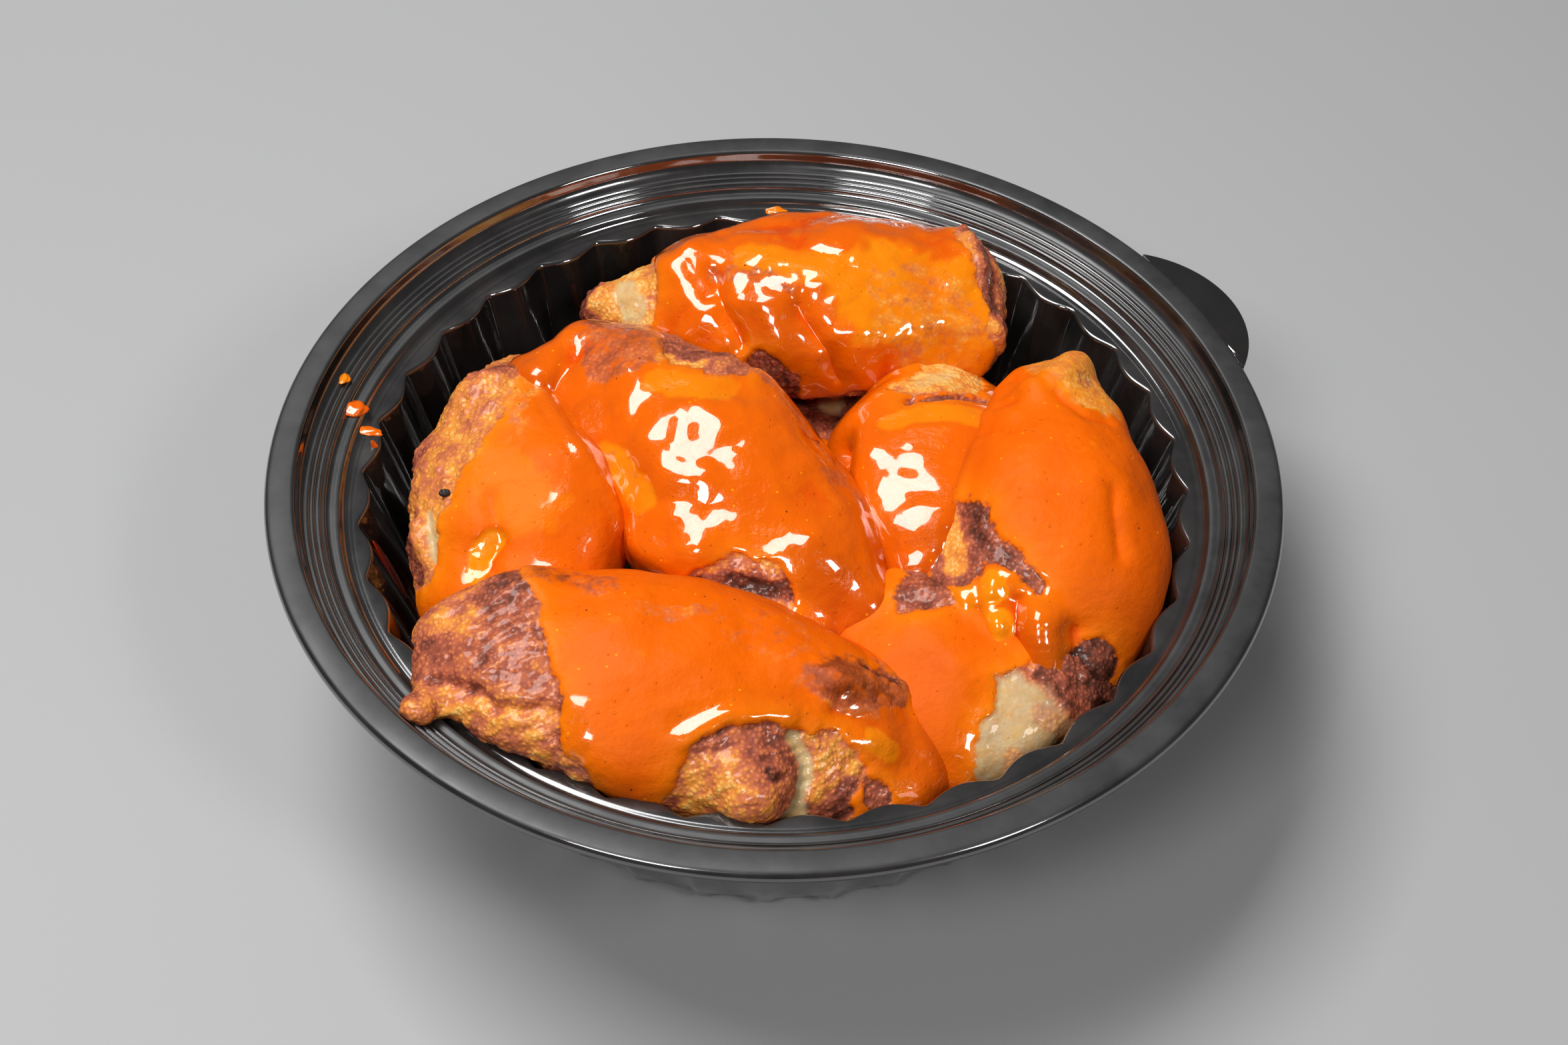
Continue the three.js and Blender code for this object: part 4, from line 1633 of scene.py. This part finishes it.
def wing_under() -> Wing:
    """The lower wing whose joint ends show in the gap at the back."""
    return Wing(
        node="wing_under",
        seed=27.4,
        browned=0.6,
        strokes=(
            Stroke(route(32, 84), 4, 1.4),
        ),
        patches=(
            Patch(Mark.BARE, route(32, 84, 48, 86, 64, 86), 7),
            Patch(Mark.PALE, route(48, 88), 3, 0.9),
            Patch(Mark.PALE, route(64, 89), 3, 0.9),
        ),
    )


def wings() -> list[Wing]:
    """The eight wings with what is seen on each, top of the pile first."""
    return [
        wing_centre(),
        wing_front(),
        wing_right(),
        wing_back(),
        wing_inner_right(),
        wing_front_right(),
        wing_left(),
        wing_under(),
    ]


# ---- small things ------------------------------------------------------------------------


@dataclass
class Drip:
    """A small blob of sauce lying on the bowl."""

    name: str
    angle: float  # degrees round the bowl from +X
    radius: float  # millimetres from the axis
    height: float  # millimetres above the table
    size: tuple[float, float, float]  # full radial, sideways and upright sizes in millimetres
    seed: float = 0.0
    thin: float = 0.0
    # Share of the darker, redder sauce colour: partly thicker sauce, partly painted shade.
    deep_and_shaded: float = 0.0
    tilt: float = 0.0  # degrees that its top leans outwards

    def build(self, material: Material) -> None:
        """Makes and dresses the blob.

        Args:
            material: The sauce.
        """
        shape = uneven_ball([side * MM for side in self.size], 0.4, 2.2, self.seed)
        turned(shape, math.radians(self.tilt), "Y")
        place = (self.radius * MM, 0, self.height * MM)
        bmesh.ops.translate(shape, verts=shape.verts, vec=place)
        turned(shape, math.radians(self.angle), "Z")
        piece = finished(shape, self.name)
        Skin(piece.data).store("thin", self.thin)
        Skin(piece.data).store("valley_shade", self.deep_and_shaded)
        handed_over(piece, "sauced_wing", material)


def drips() -> list[Drip]:
    """The drops of sauce that fell on the bowl."""
    return [
        Drip("drip_ridge", 166.5, 87.2, 47.6, (2.2, 3.0, 1.2), seed=2.0, thin=0.9),
        Drip("drip_shoulder", 170, 83.4, 45.1, (4.6, 4.4, 2.0), seed=5.0, thin=0.3),
        Drip("drip_ledge", 172.5, 79.6, 43.3, (4.6, 2.4, 1.0), seed=8.0, thin=0.4),
        Drip("drip_lobe", 175, 77.6, 42.2, (1.4, 2.0, 4.6), seed=14.0, thin=0.2, deep_and_shaded=0.3, tilt=15),
        Drip("drip_back", 91, 80.0, 43.4, (2.4, 4.6, 1.0), seed=11.0, thin=0.7),
        Drip("smear_upper", 190, 74.6, 29.0, (1.0, 4.6, 17.0), seed=17.0, deep_and_shaded=0.5, tilt=14.7),
        Drip("smear_middle", 200, 73.9, 26.0, (1.0, 4.8, 20.0), seed=21.0, deep_and_shaded=0.6, tilt=14.7),
        Drip("smear_lower", 210, 73.8, 26.0, (0.9, 3.6, 14.0), seed=26.0, deep_and_shaded=0.8, tilt=14.7),
    ]


@dataclass
class Peppercorn:
    """A bit of cracked pepper that lies on a wing."""

    host: str
    place: Place
    size: tuple[float, float, float] = (2.0 * MM, 1.7 * MM, 1.2 * MM)
    proud: float = 0.7 * MM  # how far its middle stands off the skin
    seed: float = 3.0

    def build(self, material: Material) -> None:
        """Makes and dresses the piece.

        Args:
            material: The pepper.
        """
        wing = Wing(node=self.host)
        find = wing.locator(Skin(wing.base()))
        shape = uneven_ball(self.size, 0.35, 5, self.seed)
        place = find(self.place) - self.proud * LOOK
        bmesh.ops.translate(shape, verts=shape.verts, vec=place)
        handed_over(finished(shape, "peppercorn"), "sauced_wing", material)


# ---- stage -------------------------------------------------------------------------------


@dataclass
class Studio:
    """The pale floor, the soft lights and the camera."""

    floor_colour: Colour = (0.43, 0.43, 0.43)
    floor_shade: Colour = (0.39, 0.39, 0.395)
    camera_tilt: float = math.radians(47.68)  # how far it looks down
    camera_roll: float = math.radians(1.43)
    lens: float = 50.0
    stand_off: float = 396.92 * MM  # from the camera to the rim's height along its view
    aim: tuple[float, float] = (1.92 * MM, -18.76 * MM)  # where that is
    surround: float = 0.07  # light from all round
    backdrop: float = 0.6  # how bright the surround looks behind the floor

    def floor(self) -> None:
        """Lays the floor, which isn't part of the serving."""
        shape = bmesh.new()
        bmesh.ops.create_grid(shape, x_segments=1, y_segments=1, size=3.0)
        floor = finished(shape, "floor", smooth=False)
        material, graph, shader = new_material("floor")
        colour = graph.mix(graph.cloud(0.4), self.floor_colour, self.floor_shade)
        graph.dress(shader, {"Base Color": colour, "Roughness": 0.6})
        floor.data.materials.append(material)

    def panel(self, name: str, towards: Vector, size: tuple[float, float], power: float) -> None:
        """Hangs a soft light panel that faces the serving.

        Args:
            name: The light's name.
            towards: Where it hangs, seen from the serving.
            size: Its width and height.
            power: Its power in watts.
        """
        light = bpy.data.lights.new(name, "AREA")
        light.shape = "RECTANGLE"
        light.size, light.size_y = size
        light.energy = power
        lamp = bpy.data.objects.new(name, light)
        lamp.location = towards
        lamp.rotation_euler = (-towards).to_track_quat("-Z", "Y").to_euler()
        bpy.context.scene.collection.objects.link(lamp)

    def lights(self) -> None:
        """Hangs the panels and sets the dim surround."""
        self.panel("key", Vector((-0.42, 0.26, 1.16)), (0.78, 0.52), 12.2)
        self.panel("front", Vector((-0.38, -0.66, 0.98)), (0.34, 0.26), 4.0)
        self.panel("right", Vector((0.66, -0.56, 0.90)), (0.24, 0.24), 2.8)
        world = bpy.data.worlds.new("surround")
        world.use_nodes = True
        graph = Graph(world.node_tree)
        seen = graph.add("ShaderNodeLightPath").outputs["Is Camera Ray"]
        backdrop = world.node_tree.nodes["Background"]
        backdrop.inputs["Color"].default_value = (1, 1, 1, 1)
        graph.feed(backdrop.inputs["Strength"], graph.blend(seen, self.surround, self.backdrop))
        bpy.context.scene.world = world

    def camera(self) -> None:
        """Sets the camera where a guest sits, tilted down at the serving."""
        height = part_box("bowl")[1].z
        ahead = Vector((0, math.cos(self.camera_tilt), -math.sin(self.camera_tilt)))
        level = Vector((1, 0, 0))
        above = level.cross(ahead)
        right = math.cos(self.camera_roll) * level + math.sin(self.camera_roll) * above
        upward = right.cross(ahead)
        data = bpy.data.cameras.new("camera")
        data.lens = self.lens
        data.clip_start = 0.01
        camera = bpy.data.objects.new("camera", data)
        turn = Matrix((right, upward, -ahead)).transposed().to_4x4()
        place = Vector((*self.aim, height)) - self.stand_off * ahead
        camera.matrix_world = Matrix.Translation(place) @ turn
        bpy.context.scene.collection.objects.link(camera)
        bpy.context.scene.camera = camera

    def build(self) -> None:
        """Sets up the whole stage."""
        self.floor()
        self.lights()
        self.camera()
        bpy.context.scene.view_settings.view_transform = "Standard"
        bpy.context.scene.view_settings.look = "Medium High Contrast"


# ---- the serving -------------------------------------------------------------------------


def main() -> None:
    """Builds every piece over the frame and reports it."""
    logging.basicConfig(level=logging.INFO, format="%(message)s")
    effects = Effects()
    Bowl().build(BlackPlastic().material(effects))
    skin = FriedWing().material(effects)
    sauce = Sauce().material(effects)
    for wing in wings():
        wing.build(skin)
    for drip in drips():
        drip.build(sauce)
    Peppercorn("wing_left", (0.21, 0.53)).build(PEPPER.material(effects))
    Studio().build()


if __name__ == "__main__":
    main()
